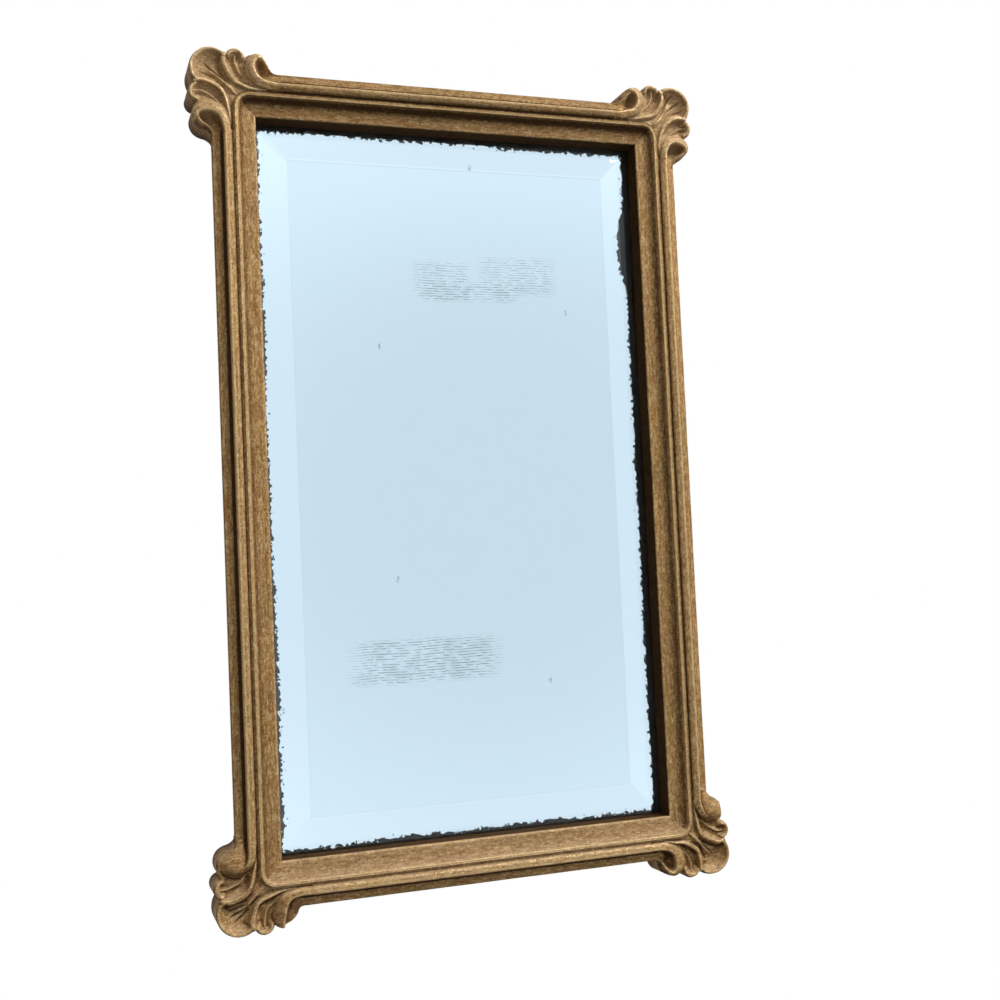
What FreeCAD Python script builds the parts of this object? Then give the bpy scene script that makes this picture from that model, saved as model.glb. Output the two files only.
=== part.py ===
"""A carved and gilded wall mirror: moulded frame, shell corners, bevelled plate, boarded back and hangers.

The frame's front faces -Y and the wall lies at y = 0, behind the backboards. X runs to the right as the mirror is
looked at, Z is up, and the origin is the middle of the backboards' rear face. All lengths are millimetres.

Along the moulding, "out" is the distance outward from the sight edge and "rise" is the height above the sight
plane, the plane of the flat band beside the glass.
"""
import FreeCAD
import Part
import Sketcher
import math
import os
from types import SimpleNamespace

from FreeCAD import Placement, Rotation, Vector

DRIVING_SIZES = {
    # Sight opening and rebate
    "sight_width": 317.5,
    "sight_height": 559.0,
    "rebate_width": 7.5,
    "rebate_depth": 13.0,
    "lip_depth": 17.0,
    # Moulding, from the sight edge outward
    "nosing_radius": 1.2,
    "band_width": 8.5,
    "inner_cove_width": 5.7,
    "bead_radius": 1.4,
    "bead_rise": 6.0,
    "quirk_width": 2.6,
    "quirk_rise": 3.2,
    "ridge_radius": 3.0,
    "ridge_rise": 8.0,
    "outer_cove_width": 8.4,
    "outer_cove_rise": 4.5,
    "shoulder_rise": 0.8,
    "back_taper": 3.4,
    # Carved corners
    "carving_reach": 21.0,
    "corner_round": 5.0,
    "seat_drop": 8.0,
    "ear_back": 5.0,
    "plate_rise": 2.0,
    "shell_radius": 17.2,
    "shell_setback": 1.5,
    "shell_rise": 7.0,
    "shell_dish": 4.4,
    "lobe_radius": 7.6,
    "lobe_setback": 19.2,
    "lobe_overhang": 9.2,
    "lobe_rise": 6.0,
    "lobe_dish": 2.5,
    "rim_width": 1.5,
    "rim_inset": 0.4,
    "scroll_radius": 11.6,
    "scroll_setback": 34.5,
    "scroll_overhang": 2.2,
    "scroll_lip": 0.8,
    "scroll_curl": 80.0,
    "tail_radius": 6.0,
    "scoop_length": 8.4,
    "scoop_width": 5.6,
    "scoop_depth": 5.0,
    "scoop_turn": 32.0,
    # Keys across the mitres
    "key_leg": 22.0,
    "key_thickness": 3.0,
    "key_height": 15.0,
    "key_inset": 0.8,
    "key_clearance": 0.05,
    # Plate and what holds it
    "plate_clearance": 1.2,
    "plate_play": 0.1,
    "plate_thickness": 6.0,
    "plate_edge": 2.4,
    "bevel_width": 32.0,
    "coat_thickness": 0.3,
    "block_length": 50.0,
    "block_width": 7.0,
    "block_pitch_across": 150.0,
    "block_pitch_up": 185.0,
    # Backboards and their nails
    "board_thickness": 6.0,
    "board_lap": 6.5,
    "board_gap": 0.6,
    "nail_radius": 0.8,
    "nail_length": 20.0,
    "nail_head_radius": 1.9,
    "nail_head_thickness": 1.0,
    "nail_sink": 0.3,
    "nail_clearance": 0.05,
    "nail_spread": 55.0,
    "nail_pitch": 110.0,
    # Hangers
    "hanger_height": 150.0,
    "strap_width": 8.5,
    "strap_thickness": 1.0,
    "strap_length": 34.0,
    "wire_radius": 1.25,
    "eye_clearance": 0.08,
    "ring_opening": 11.0,
    "ring_arm": 4.5,
    "ring_corner": 2.0,
    "ring_rest_gap": 0.3,
    "screw_radius": 1.5,
    "screw_length": 13.0,
    "screw_head_radius": 2.9,
    "screw_head_height": 1.5,
    "screw_slot_width": 0.7,
    "screw_slot_depth": 0.7,
    "screw_clearance": 0.05,
    "strap_hole_clearance": 0.2,
    "first_screw_drop": 7.0,
    "second_screw_drop": 26.0,
}

# How far a cutting shape runs past what it cuts.
OVERRUN = 2.0


class Size:
    """A length with its value and the expression that ties it to the sheet."""

    def __init__(self, value, text):
        self.value = float(value)
        self.text = text

    def __add__(self, other):
        other = as_size(other)
        return Size(self.value + other.value, f"({self.text} + {other.text})")

    def __sub__(self, other):
        other = as_size(other)
        return Size(self.value - other.value, f"({self.text} - {other.text})")

    def __mul__(self, other):
        other = as_size(other)
        return Size(self.value * other.value, f"({self.text} * {other.text})")

    def __truediv__(self, other):
        other = as_size(other)
        return Size(self.value / other.value, f"({self.text} / {other.text})")

    def __neg__(self):
        return Size(-self.value, f"(0 - {self.text})")


def as_size(number):
    """Return a plain number as a Size, or a Size as it is."""
    if isinstance(number, Size):
        return number
    return Size(number, repr(float(number)))


def root(size):
    """Return the square root of a Size."""
    return Size(math.sqrt(size.value), f"sqrt({size.text})")


def angle_of_sine(size):
    """Return the angle, in degrees, whose sine is the given Size."""
    return Size(math.degrees(math.asin(size.value)), f"asin({size.text})")


def make_sheet(doc):
    """Write the driving sizes to a sheet and return them by name, tied to their cells."""
    sheet = doc.addObject("Spreadsheet::Sheet", "sizes")
    for row, (name, value) in enumerate(DRIVING_SIZES.items(), start=1):
        sheet.set(f"A{row}", name)
        sheet.set(f"B{row}", str(value))
        sheet.setAlias(f"B{row}", name)
    doc.recompute()
    return SimpleNamespace(**{
        name: Size(value, f"sizes.{name}") for name, value in DRIVING_SIZES.items()
    })


def bind(item, **properties):
    """Tie properties of a document object to Sizes."""
    for name, size in properties.items():
        item.setExpression(name, as_size(size).text)


def place(item, x=0.0, y=0.0, z=0.0, axis=Vector(0, 1, 0), turn=0.0):
    """Turn an object about an axis and tie its position to Sizes."""
    item.Placement = Placement(Vector(0, 0, 0), Rotation(axis, turn))
    for name, size in (("x", x), ("y", y), ("z", z)):
        item.setExpression(f"Placement.Base.{name}", as_size(size).text)


# Sketches and the features made from them

def new_sketch(body, role, name, offset=0.0):
    """Add a sketch on one of a body's origin planes, a tied distance along the plane's normal."""
    plane = next(item for item in body.Origin.OriginFeatures if item.Role == role)
    sketch = body.newObject("Sketcher::SketchObject", name)
    sketch.AttachmentSupport = [(plane, "")]
    sketch.MapMode = "FlatFace"
    sketch.setExpression("AttachmentOffset.Base.z", as_size(offset).text)
    return sketch


def tie_point(sketch, geometry, position, point):
    """Tie one point of a sketch to a pair of Sizes measured from the sketch's origin."""
    for kind, size in zip(("DistanceX", "DistanceY"), point):
        tie_axis(sketch, geometry, position, kind, size)


def tie_axis(sketch, geometry, position, kind, size):
    """Tie one coordinate of a point in a sketch to a Size."""
    index = sketch.addConstraint(Sketcher.Constraint(kind, -1, 1, geometry, position, size.value))
    sketch.setExpression(f"Constraints[{index}]", size.text)


def tie_radius(sketch, geometry, size):
    """Tie the radius of an arc or circle to a Size."""
    index = sketch.addConstraint(Sketcher.Constraint("Radius", geometry, size.value))
    sketch.setExpression(f"Constraints[{index}]", size.text)


def flat(point):
    """Return a pair of Sizes or numbers as a point of the sketch plane."""
    across, up = (as_size(part).value for part in point)
    return Vector(across, up, 0)


def arc_between(centre, start, end, left):
    """Return the arc about a centre from start to end, which turns left or right."""
    first = math.atan2(start.y - centre.y, start.x - centre.x)
    last = math.atan2(end.y - centre.y, end.x - centre.x)
    sweep = (last - first) % (2 * math.pi)
    if not left:
        sweep -= 2 * math.pi
    radius = start.distanceToPoint(centre)
    middle = first + sweep / 2
    through = Vector(centre.x + radius * math.cos(middle), centre.y + radius * math.sin(middle), 0)
    return Part.Arc(start, through, end)


def draw_path(sketch, corners, arcs, closed=True):
    """Draw lines and arcs through corners, every corner and centre tied to the sheet.

    A corner of plain numbers is left for the solver, which finds it where its two arcs meet. arcs maps a segment's
    number to its centre, its radius and whether it turns left.
    """
    count = len(corners)
    segments = count if closed else count - 1
    tied = [isinstance(corner[0], Size) for corner in corners]
    starts = []
    ends = []
    for number in range(segments):
        after = (number + 1) % count
        start, end = flat(corners[number]), flat(corners[after])
        if number not in arcs:
            line = sketch.addGeometry(Part.LineSegment(start, end), False)
            starts.append((line, 1))
            ends.append((line, 2))
            continue
        centre, radius, left = arcs[number]
        curve = sketch.addGeometry(arc_between(flat(centre), start, end, left), False)
        starts.append((curve, 1 if left else 2))
        ends.append((curve, 2 if left else 1))
        tied_ends = tied[number] + tied[after]
        chord = end - start
        if tied_ends < 2 or abs(chord.x) <= abs(chord.y):
            tie_axis(sketch, curve, 3, "DistanceX", as_size(centre[0]))
        if tied_ends < 2 or abs(chord.x) > abs(chord.y):
            tie_axis(sketch, curve, 3, "DistanceY", as_size(centre[1]))
        if tied_ends == 0:
            tie_radius(sketch, curve, radius)
    for number in range(segments if closed else segments - 1):
        sketch.addConstraint(Sketcher.Constraint("Coincident", *ends[number], *starts[(number + 1) % segments]))
    for number in range(segments):
        if tied[number]:
            tie_point(sketch, *starts[number], [as_size(part) for part in corners[number]])
    if not closed:
        tie_point(sketch, *ends[-1], [as_size(part) for part in corners[-1]])


def draw_circle(sketch, centre, radius):
    """Draw a circle whose centre and radius are tied to the sheet."""
    circle = sketch.addGeometry(Part.Circle(flat(centre), Vector(0, 0, 1), radius.value), False)
    tie_point(sketch, circle, 3, [as_size(part) for part in centre])
    tie_radius(sketch, circle, radius)


def pad(body, sketch, name, length, symmetric=False, backward=False):
    """Pad a sketch by a tied length."""
    feature = body.newObject("PartDesign::Pad", name)
    feature.Profile = sketch
    feature.SideType = "Symmetric" if symmetric else "One side"
    feature.Reversed = backward
    bind(feature, Length=length)
    return feature


def pocket(body, sketch, name, length=None):
    """Cut a sketch toward the front, by a tied length or right through."""
    feature = body.newObject("PartDesign::Pocket", name)
    feature.Profile = sketch
    feature.Reversed = True
    if length is None:
        feature.Type = "ThroughAll"
    else:
        bind(feature, Length=length)
    return feature


def pipe(body, profile, path, name):
    """Carry a profile sketch along a path sketch."""
    feature = body.newObject("PartDesign::AdditivePipe", name)
    feature.Profile = profile
    feature.Spine = path
    return feature


# Part primitives and booleans

def box(doc, name, length, width, height):
    """Add a box with tied sides."""
    item = doc.addObject("Part::Box", name)
    bind(item, Length=length, Width=width, Height=height)
    return item


def cylinder(doc, name, radius, height):
    """Add a cylinder with tied sizes."""
    item = doc.addObject("Part::Cylinder", name)
    bind(item, Radius=radius, Height=height)
    return item


def cut(doc, name, base, tool):
    """Cut one solid with another."""
    item = doc.addObject("Part::Cut", name)
    item.Base = base
    item.Tool = tool
    return item


def fuse(doc, name, shapes):
    """Join solids into one."""
    item = doc.addObject("Part::MultiFuse", name)
    item.Shapes = shapes
    return item


def group(doc, name, items):
    """Gather separate solids under one name."""
    item = doc.addObject("Part::Compound", name)
    item.Links = items
    return item


# Places along the moulding that several pieces share

def work_out(sizes):
    """Return the sizes and places that follow from the driving sizes."""
    made = SimpleNamespace()
    made.sight_rise = sizes.rebate_depth + sizes.lip_depth
    made.bead_start = sizes.band_width + sizes.inner_cove_width
    made.bead_middle = made.bead_start + sizes.bead_radius
    made.quirk_start = made.bead_middle + sizes.bead_radius
    made.quirk_middle = made.quirk_start + sizes.quirk_width / 2
    made.ridge_start = made.quirk_start + sizes.quirk_width
    made.ridge_middle = made.ridge_start + sizes.ridge_radius
    made.ridge_end = made.ridge_middle + sizes.ridge_radius
    made.face = made.ridge_end + sizes.outer_cove_width
    made.back_edge = made.face - sizes.back_taper
    made.bead_centre = made.sight_rise + sizes.bead_rise - sizes.bead_radius
    made.ridge_centre = made.sight_rise + sizes.ridge_rise - sizes.ridge_radius
    made.shoulder = made.sight_rise + sizes.shoulder_rise
    made.seat = made.sight_rise - sizes.seat_drop
    # Plate: the lip bears on the bevel at the sight edge
    made.plate_lap = sizes.rebate_width - sizes.plate_clearance
    made.bevel_drop = sizes.plate_thickness - sizes.plate_edge
    made.plate_at_lip = sizes.plate_edge + made.bevel_drop * made.plate_lap / sizes.bevel_width
    made.plate_back = sizes.rebate_depth - sizes.plate_play - made.plate_at_lip
    made.plate_width = sizes.sight_width + made.plate_lap * 2
    made.plate_height = sizes.sight_height + made.plate_lap * 2
    made.block_depth = made.plate_back - sizes.coat_thickness
    # Backboards and nails
    made.board_edge = sizes.rebate_width + sizes.board_lap
    made.board_width = sizes.sight_width + made.board_edge * 2
    made.board_height = (sizes.sight_height + made.board_edge * 2 - sizes.board_gap * 2) / 3
    made.board_pitch = made.board_height + sizes.board_gap
    made.nail_out = sizes.rebate_width + sizes.board_lap / 2
    made.nail_hole = sizes.nail_radius + sizes.nail_clearance
    made.nail_head_hole = sizes.nail_head_radius + sizes.nail_clearance
    made.nail_head_depth = sizes.nail_sink + sizes.nail_head_thickness
    made.nail_hold = made.nail_head_depth + sizes.nail_length - sizes.board_thickness
    made.stile_nails = [
        made.board_pitch * board + sizes.nail_spread * side for board in (-1, 0, 1) for side in (-1, 1)
    ]
    made.rail_nails = [sizes.nail_pitch * step for step in (-1, 0, 1)]
    # Hangers
    made.hanger_out = (made.board_edge + made.back_edge) / 2
    made.eye_bore = sizes.wire_radius + sizes.eye_clearance
    made.eye_radius = made.eye_bore + sizes.strap_thickness
    made.ring_half = sizes.ring_opening / 2 + sizes.wire_radius
    made.ring_tip = sizes.ring_arm + made.ring_half
    made.ring_lean = angle_of_sine((made.eye_radius - sizes.wire_radius - sizes.ring_rest_gap) / made.ring_tip)
    made.screw_hole = sizes.screw_radius + sizes.screw_clearance
    made.screw_hold = sizes.screw_length - sizes.strap_thickness + sizes.screw_clearance
    made.screw_drops = [sizes.first_screw_drop, sizes.second_screw_drop]
    return made


# Frame rails

def draw_moulding(sketch, sizes, made):
    """Draw the moulding's section, out along the sketch's second axis and the front at minus its first."""
    cove_rise = sizes.bead_rise - sizes.bead_radius
    cove_radius = (sizes.inner_cove_width * sizes.inner_cove_width + cove_rise * cove_rise) / (cove_rise * 2)
    fall = sizes.outer_cove_rise - sizes.shoulder_rise
    fall_radius = (sizes.outer_cove_width * sizes.outer_cove_width + fall * fall) / (fall * 2)
    level = made.sight_rise
    section = [
        (as_size(0), sizes.rebate_depth),
        (as_size(0), level - sizes.nosing_radius),
        (sizes.nosing_radius, level),
        (sizes.band_width, level),
        (made.bead_start, made.bead_centre),
        (made.quirk_start, made.bead_centre),
        (made.quirk_start, level + sizes.quirk_rise),
        (made.ridge_start, level + sizes.quirk_rise),
        (made.ridge_start, made.ridge_centre),
        (made.ridge_end, made.ridge_centre),
        (made.ridge_end, level + sizes.outer_cove_rise),
        (made.face, made.shoulder),
        (made.back_edge, as_size(0)),
        (sizes.rebate_width, as_size(0)),
        (sizes.rebate_width, sizes.rebate_depth),
    ]
    centres = {
        1: (sizes.nosing_radius, level - sizes.nosing_radius, sizes.nosing_radius, False),
        3: (sizes.band_width, level + cove_radius, cove_radius, True),
        4: (made.bead_middle, made.bead_centre, sizes.bead_radius, False),
        8: (made.ridge_middle, made.ridge_centre, sizes.ridge_radius, False),
        10: (made.face, made.shoulder + fall_radius, fall_radius, True),
    }
    corners = [(-height, out) for out, height in section]
    arcs = {
        number: ((-height, out), radius, left) for number, (out, height, radius, left) in centres.items()
    }
    draw_path(sketch, corners, arcs)


def at_end(point, half, side):
    """Return a point of a corner, given outward from both sight edges, at one end of a rail."""
    along, out = point
    return (half + along if side > 0 else -(half + along), as_size(out))


def draw_end(sketch, points, arcs, half, side):
    """Draw a closed outline, given in a corner's own measures, at one end of a rail."""
    corners = [at_end(point, half, side) for point in points]
    turned = {
        number: (at_end(centre, half, side), radius, left if side > 0 else not left)
        for number, (centre, radius, left) in arcs.items()
    }
    draw_path(sketch, corners, turned)


def mitre_waste(made):
    """Return the triangle that a mitre cut takes off a rail's end."""
    far = made.face + OVERRUN
    return [(as_size(0), as_size(0)), (far, as_size(0)), (far, far)]


def seat_outline(sizes, made):
    """Return the outline of the seat that a corner carving sits in, with its arc."""
    line = made.quirk_middle
    far = made.face + OVERRUN
    turn = sizes.corner_round
    points = [
        (-sizes.carving_reach, line),
        (turn, line),
        (line, turn),
        (line, as_size(-OVERRUN)),
        (far, as_size(-OVERRUN)),
        (far, far),
        (-sizes.carving_reach, far),
    ]
    return points, {1: ((turn, turn), line - turn, False)}


def key_corner(sizes, made):
    """Return how far out of both sight edges a mitre key's square corner lies."""
    return made.back_edge - sizes.key_inset


def key_slot(sizes, made):
    """Return the triangle of a key's slot, sawn in from outside the frame."""
    far = made.face + OVERRUN
    near = key_corner(sizes, made) * 2 - sizes.key_leg - far
    return [(near, far), (far, near), (far, far)]


def make_rail(doc, sizes, made, name, opening, nails, screws):
    """Make one frame rail: moulding, mitres, seats, key slots and fastener holes.

    The rail lies along X with its sight edge on the axis, its back at y = 0 and its outer edge at +Z.
    """
    body = doc.addObject("PartDesign::Body", name)
    half = opening / 2
    section = new_sketch(body, "YZ_Plane", f"{name}_section")
    draw_moulding(section, sizes, made)
    pad(body, section, f"{name}_moulding", opening + made.face * 2, symmetric=True)
    mitres = new_sketch(body, "XZ_Plane", f"{name}_mitre_lines")
    seats = new_sketch(body, "XZ_Plane", f"{name}_seat_lines", made.seat)
    slots = new_sketch(body, "XZ_Plane", f"{name}_slot_lines", sizes.key_height - sizes.key_clearance)
    seat_points, seat_arcs = seat_outline(sizes, made)
    for side in (-1, 1):
        draw_end(mitres, mitre_waste(made), {}, half, side)
        draw_end(seats, seat_points, seat_arcs, half, side)
        draw_end(slots, key_slot(sizes, made), {}, half, side)
    pocket(body, mitres, f"{name}_mitres")
    pocket(body, seats, f"{name}_seats")
    pocket(body, slots, f"{name}_slots", sizes.key_thickness + sizes.key_clearance * 2)
    nail_holes = new_sketch(body, "XZ_Plane", f"{name}_nail_lines")
    for along in nails:
        draw_circle(nail_holes, (along, made.nail_out), made.nail_hole)
    pocket(body, nail_holes, f"{name}_nail_holes", made.nail_hold)
    if screws:
        screw_holes = new_sketch(body, "XZ_Plane", f"{name}_screw_lines")
        for along in screws:
            draw_circle(screw_holes, (along, made.hanger_out), made.screw_hole)
        pocket(body, screw_holes, f"{name}_screw_holes", made.screw_hold)
    return body


def rail_places(sizes):
    """Return each rail's name, opening, turn about Y and place of its sight edge."""
    across = sizes.sight_width / 2
    up = sizes.sight_height / 2
    none = as_size(0)
    return {
        "top_rail": (sizes.sight_width, 0, none, up),
        "right_stile": (sizes.sight_height, 90, across, none),
        "bottom_rail": (sizes.sight_width, 180, none, -up),
        "left_stile": (sizes.sight_height, 270, -across, none),
    }


def make_rails(doc, sizes, made):
    """Make the four rails in their places."""
    rails = []
    for name, (opening, turn, x, z) in rail_places(sizes).items():
        upright = name.endswith("stile")
        nails = made.stile_nails if upright else made.rail_nails
        hand = 1 if name == "left_stile" else -1
        screws = [(sizes.hanger_height - drop) * hand for drop in made.screw_drops] if upright else []
        rail = make_rail(doc, sizes, made, name, opening, nails, screws)
        place(rail, x, -sizes.board_thickness, z, turn=turn)
        rails.append(rail)
    return rails


# Carved corners

def corner_places(sizes):
    """Return each corner's name, turn about Y and the place of its sight corner."""
    across = sizes.sight_width / 2
    up = sizes.sight_height / 2
    return {
        "top_right": (0, across, up),
        "bottom_right": (90, across, -up),
        "bottom_left": (180, -across, -up),
        "top_left": (270, -across, up),
    }


def circles_meet(first, first_radius, second, second_radius, far):
    """Return where two circles cross, on the side nearer to a far point."""
    one, two = flat(first), flat(second)
    gap = two - one
    along = (gap.Length ** 2 + first_radius.value ** 2 - second_radius.value ** 2) / (2 * gap.Length)
    aside = math.sqrt(first_radius.value ** 2 - along ** 2)
    step = gap / gap.Length
    square = Vector(-step.y, step.x, 0)
    ways = [one + step * along + square * (aside * sign) for sign in (-1, 1)]
    nearest = min(ways, key=lambda way: way.distanceToPoint(far))
    return nearest.x, nearest.y


def carving_marks(sizes, made):
    """Return the centres that a corner carving is struck from, outward from both sight edges."""
    marks = SimpleNamespace()
    marks.shell = (made.face - sizes.shell_setback, made.face - sizes.shell_setback)
    marks.lobe = (made.face - sizes.lobe_setback, made.face + sizes.lobe_overhang)
    marks.scroll = (made.face - sizes.scroll_setback, made.face + sizes.scroll_overhang)
    reach = sizes.scroll_radius + sizes.tail_radius
    drop = sizes.tail_radius - sizes.scroll_overhang
    marks.tail = (marks.scroll[0] - root(reach * reach - drop * drop), made.face + sizes.tail_radius)
    share = sizes.scroll_radius / reach
    marks.tail_end = tuple(
        scroll + (tail - scroll) * share for scroll, tail in zip(marks.scroll, marks.tail)
    )
    return marks


def swapped(point):
    """Return a point mirrored in the corner's diagonal."""
    return point[1], point[0]


def carving_outline(sizes, made, marks):
    """Return the corners and arcs of a carving's outline, from the rail's end round to the stile's."""
    far = Vector(made.face.value * 2, made.face.value * 2, 0)
    first_notch = circles_meet(marks.scroll, sizes.scroll_radius, marks.lobe, sizes.lobe_radius, far)
    second_notch = circles_meet(marks.lobe, sizes.lobe_radius, marks.shell, sizes.shell_radius, far)
    half = [
        (-sizes.carving_reach, made.quirk_middle),
        (-sizes.carving_reach, made.face),
        (marks.tail[0], made.face),
        marks.tail_end,
        first_notch,
        second_notch,
    ]
    turn = sizes.corner_round
    corners = half + [swapped(point) for point in reversed(half)]
    corners += [(made.quirk_middle, turn), (turn, made.quirk_middle)]
    arcs = {
        2: (marks.tail, sizes.tail_radius, True),
        3: (marks.scroll, sizes.scroll_radius, False),
        4: (marks.lobe, sizes.lobe_radius, False),
        5: (marks.shell, sizes.shell_radius, False),
        6: (swapped(marks.lobe), sizes.lobe_radius, False),
        7: (swapped(marks.scroll), sizes.scroll_radius, False),
        8: (swapped(marks.tail), sizes.tail_radius, True),
        12: ((turn, turn), made.quirk_middle - turn, True),
    }
    return corners, arcs


def make_carving_plate(doc, sizes, made, marks, name):
    """Make a carving's plate: its outline padded, the rails' corner taken out of its back and the scoops cut."""
    body = doc.addObject("PartDesign::Body", f"{name}_plate")
    outline = new_sketch(body, "XZ_Plane", f"{name}_outline", sizes.ear_back)
    draw_path(outline, *carving_outline(sizes, made, marks))
    pad(body, outline, f"{name}_block", made.sight_rise + sizes.plate_rise - sizes.ear_back)
    core = doc.addObject("Part::Wedge", f"{name}_core")
    edge_at_seat = made.back_edge + sizes.back_taper * made.seat / made.shoulder
    near = -(sizes.carving_reach + OVERRUN)
    bind(core, Xmin=near, Zmin=near, X2min=near, Z2min=near, Ymin=-made.seat, Ymax=0)
    bind(core, Xmax=edge_at_seat, Zmax=edge_at_seat, X2max=made.back_edge, Z2max=made.back_edge)
    item = cut(doc, f"{name}_cap", body, core)
    for point, turn, hand in ((marks.scroll, -1, "rail"), (swapped(marks.scroll), 1, "stile")):
        scoop = doc.addObject("Part::Ellipsoid", f"{name}_{hand}_scoop")
        bind(scoop, Radius1=sizes.scoop_width, Radius2=sizes.scoop_length, Radius3=sizes.scoop_depth)
        bind(scoop, Angle1=-90, Angle2=90)
        place(scoop, point[0], -(made.sight_rise + sizes.plate_rise), point[1])
        lie = sizes.scoop_turn if turn < 0 else as_size(90) - sizes.scoop_turn
        bind(scoop, **{"Placement.Rotation.Angle": -lie})
        item = cut(doc, f"{name}_{hand}_hollow", item, scoop)
    return item


def make_dish(doc, made, name, centre, radius, rise, dish, sizes):
    """Make one dished petal: a round boss with a hollow top and a raised rim."""
    base = made.sight_rise - sizes.seat_drop / 2
    rim = radius - sizes.rim_inset
    boss = cylinder(doc, f"{name}_boss", rim, made.sight_rise + rise - base)
    place(boss, centre[0], -base, centre[1], axis=Vector(1, 0, 0), turn=90)
    hollow_radius = rim - sizes.rim_width
    ball_radius = (hollow_radius * hollow_radius + dish * dish) / (dish * 2)
    ball = doc.addObject("Part::Sphere", f"{name}_ball")
    bind(ball, Radius=ball_radius)
    place(ball, centre[0], -(made.sight_rise + rise - dish + ball_radius), centre[1])
    return cut(doc, name, boss, ball)


def make_scroll(doc, sizes, made, marks, name, mirrored):
    """Make one scroll: the ridge leaves the rail, bends outward and curls over the scoop."""
    body = doc.addObject("PartDesign::Body", name)
    centre_along, centre_out = marks.scroll
    curl = sizes.scroll_radius - sizes.ridge_radius - sizes.scroll_lip
    bend = centre_out - made.ridge_middle
    bend_along = centre_along + curl - bend
    lie = math.radians(sizes.scroll_curl.value)
    curl_text = f"({sizes.scroll_curl.text} * 1 deg)"
    cosine = Size(math.cos(lie), f"cos({curl_text})")
    sine = Size(math.sin(lie), f"sin({curl_text})")
    corners = [
        (-sizes.carving_reach, made.ridge_middle),
        (bend_along, made.ridge_middle),
        (centre_along + curl, centre_out),
        (centre_along + curl * cosine, centre_out + curl * sine),
    ]
    arcs = {
        1: ((bend_along, centre_out), bend, True),
        2: (marks.scroll, curl, True),
    }
    path = new_sketch(body, "XZ_Plane", f"{name}_path", made.ridge_centre)
    draw_path(path, corners, arcs, closed=False)
    ring = new_sketch(body, "YZ_Plane", f"{name}_section", -sizes.carving_reach)
    draw_circle(ring, (-made.ridge_centre, made.ridge_middle), sizes.ridge_radius)
    pipe(body, ring, path, f"{name}_roll")
    if mirrored:
        place(body, y=-(made.ridge_centre * 2), axis=Vector(1, 0, 1), turn=180)
    return body


def make_carvings(doc, sizes, made):
    """Make the four carved corners in their places."""
    marks = carving_marks(sizes, made)
    carvings = []
    for corner, (turn, x, z) in corner_places(sizes).items():
        name = f"corner_carving_{corner}"
        shapes = [make_carving_plate(doc, sizes, made, marks, name)]
        shell = (marks.shell, sizes.shell_radius, sizes.shell_rise, sizes.shell_dish)
        shapes.append(make_dish(doc, made, f"{name}_shell", *shell, sizes))
        for hand, mirrored in (("rail", False), ("stile", True)):
            centre = swapped(marks.lobe) if mirrored else marks.lobe
            lobe = (centre, sizes.lobe_radius, sizes.lobe_rise, sizes.lobe_dish)
            shapes.append(make_dish(doc, made, f"{name}_{hand}_lobe", *lobe, sizes))
            shapes.append(make_scroll(doc, sizes, made, marks, f"{name}_{hand}_scroll", mirrored))
        carving = fuse(doc, name, shapes)
        place(carving, x, -sizes.board_thickness, z, turn=turn)
        carvings.append(carving)
    return carvings


def make_mitre_keys(doc, sizes, made):
    """Make the flat keys that lock the mitres."""
    keys = []
    square = key_corner(sizes, made)
    for corner, (turn, x, z) in corner_places(sizes).items():
        name = f"mitre_key_{corner}"
        body = doc.addObject("PartDesign::Body", name)
        outline = new_sketch(body, "XZ_Plane", f"{name}_outline", sizes.key_height)
        draw_path(outline, [(square - sizes.key_leg, square), (square, square - sizes.key_leg), (square, square)], {})
        pad(body, outline, f"{name}_blank", sizes.key_thickness)
        place(body, x, -sizes.board_thickness, z, turn=turn)
        keys.append(body)
    return keys


# Plate and what holds it

def make_plate(doc, sizes, made):
    """Make the looking-glass: a thin edge with a wide bevel that rises to the flat field."""
    sheet = box(doc, "plate_sheet", made.plate_width, sizes.plate_edge, made.plate_height)
    rear = -(sizes.board_thickness + made.plate_back)
    front_edge = rear - sizes.plate_edge
    half_width = made.plate_width / 2
    half_height = made.plate_height / 2
    place(sheet, -half_width, front_edge, -half_height)
    bevel = doc.addObject("Part::Wedge", "plate_bevel")
    bind(bevel, Ymin=-made.bevel_drop, Ymax=0)
    bind(bevel, X2min=-half_width, X2max=half_width, Z2min=-half_height, Z2max=half_height)
    bind(bevel, Xmin=sizes.bevel_width - half_width, Xmax=half_width - sizes.bevel_width)
    bind(bevel, Zmin=sizes.bevel_width - half_height, Zmax=half_height - sizes.bevel_width)
    place(bevel, y=front_edge)
    return fuse(doc, "mirror_glass", [sheet, bevel])


def make_coat(doc, sizes, made):
    """Make the silver and its backing coat on the rear of the plate."""
    coat = box(doc, "silver_backing", made.plate_width, sizes.coat_thickness, made.plate_height)
    rear = -(sizes.board_thickness + made.plate_back)
    place(coat, -(made.plate_width / 2), rear, -(made.plate_height / 2))
    return coat


def make_blocks(doc, sizes, made):
    """Make the blocks glued in the rebate behind the plate."""
    sides = []
    for name, (_, turn, x, z) in rail_places(sizes).items():
        if name.endswith("stile"):
            places = [sizes.block_pitch_up * step for step in (-1, 0, 1)]
        else:
            places = [sizes.block_pitch_across * step for step in (-0.5, 0.5)]
        blocks = []
        for number, along in enumerate(places):
            block = box(doc, f"{name}_block_{number}", sizes.block_length, made.block_depth, sizes.block_width)
            place(block, along - sizes.block_length / 2, -made.block_depth, sizes.rebate_width - sizes.block_width)
            blocks.append(block)
        side = group(doc, f"{name}_blocks", blocks)
        place(side, x, -sizes.board_thickness, z, turn=turn)
        sides.append(side)
    return group(doc, "glazing_blocks", sides)


# Back of the mirror

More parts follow.
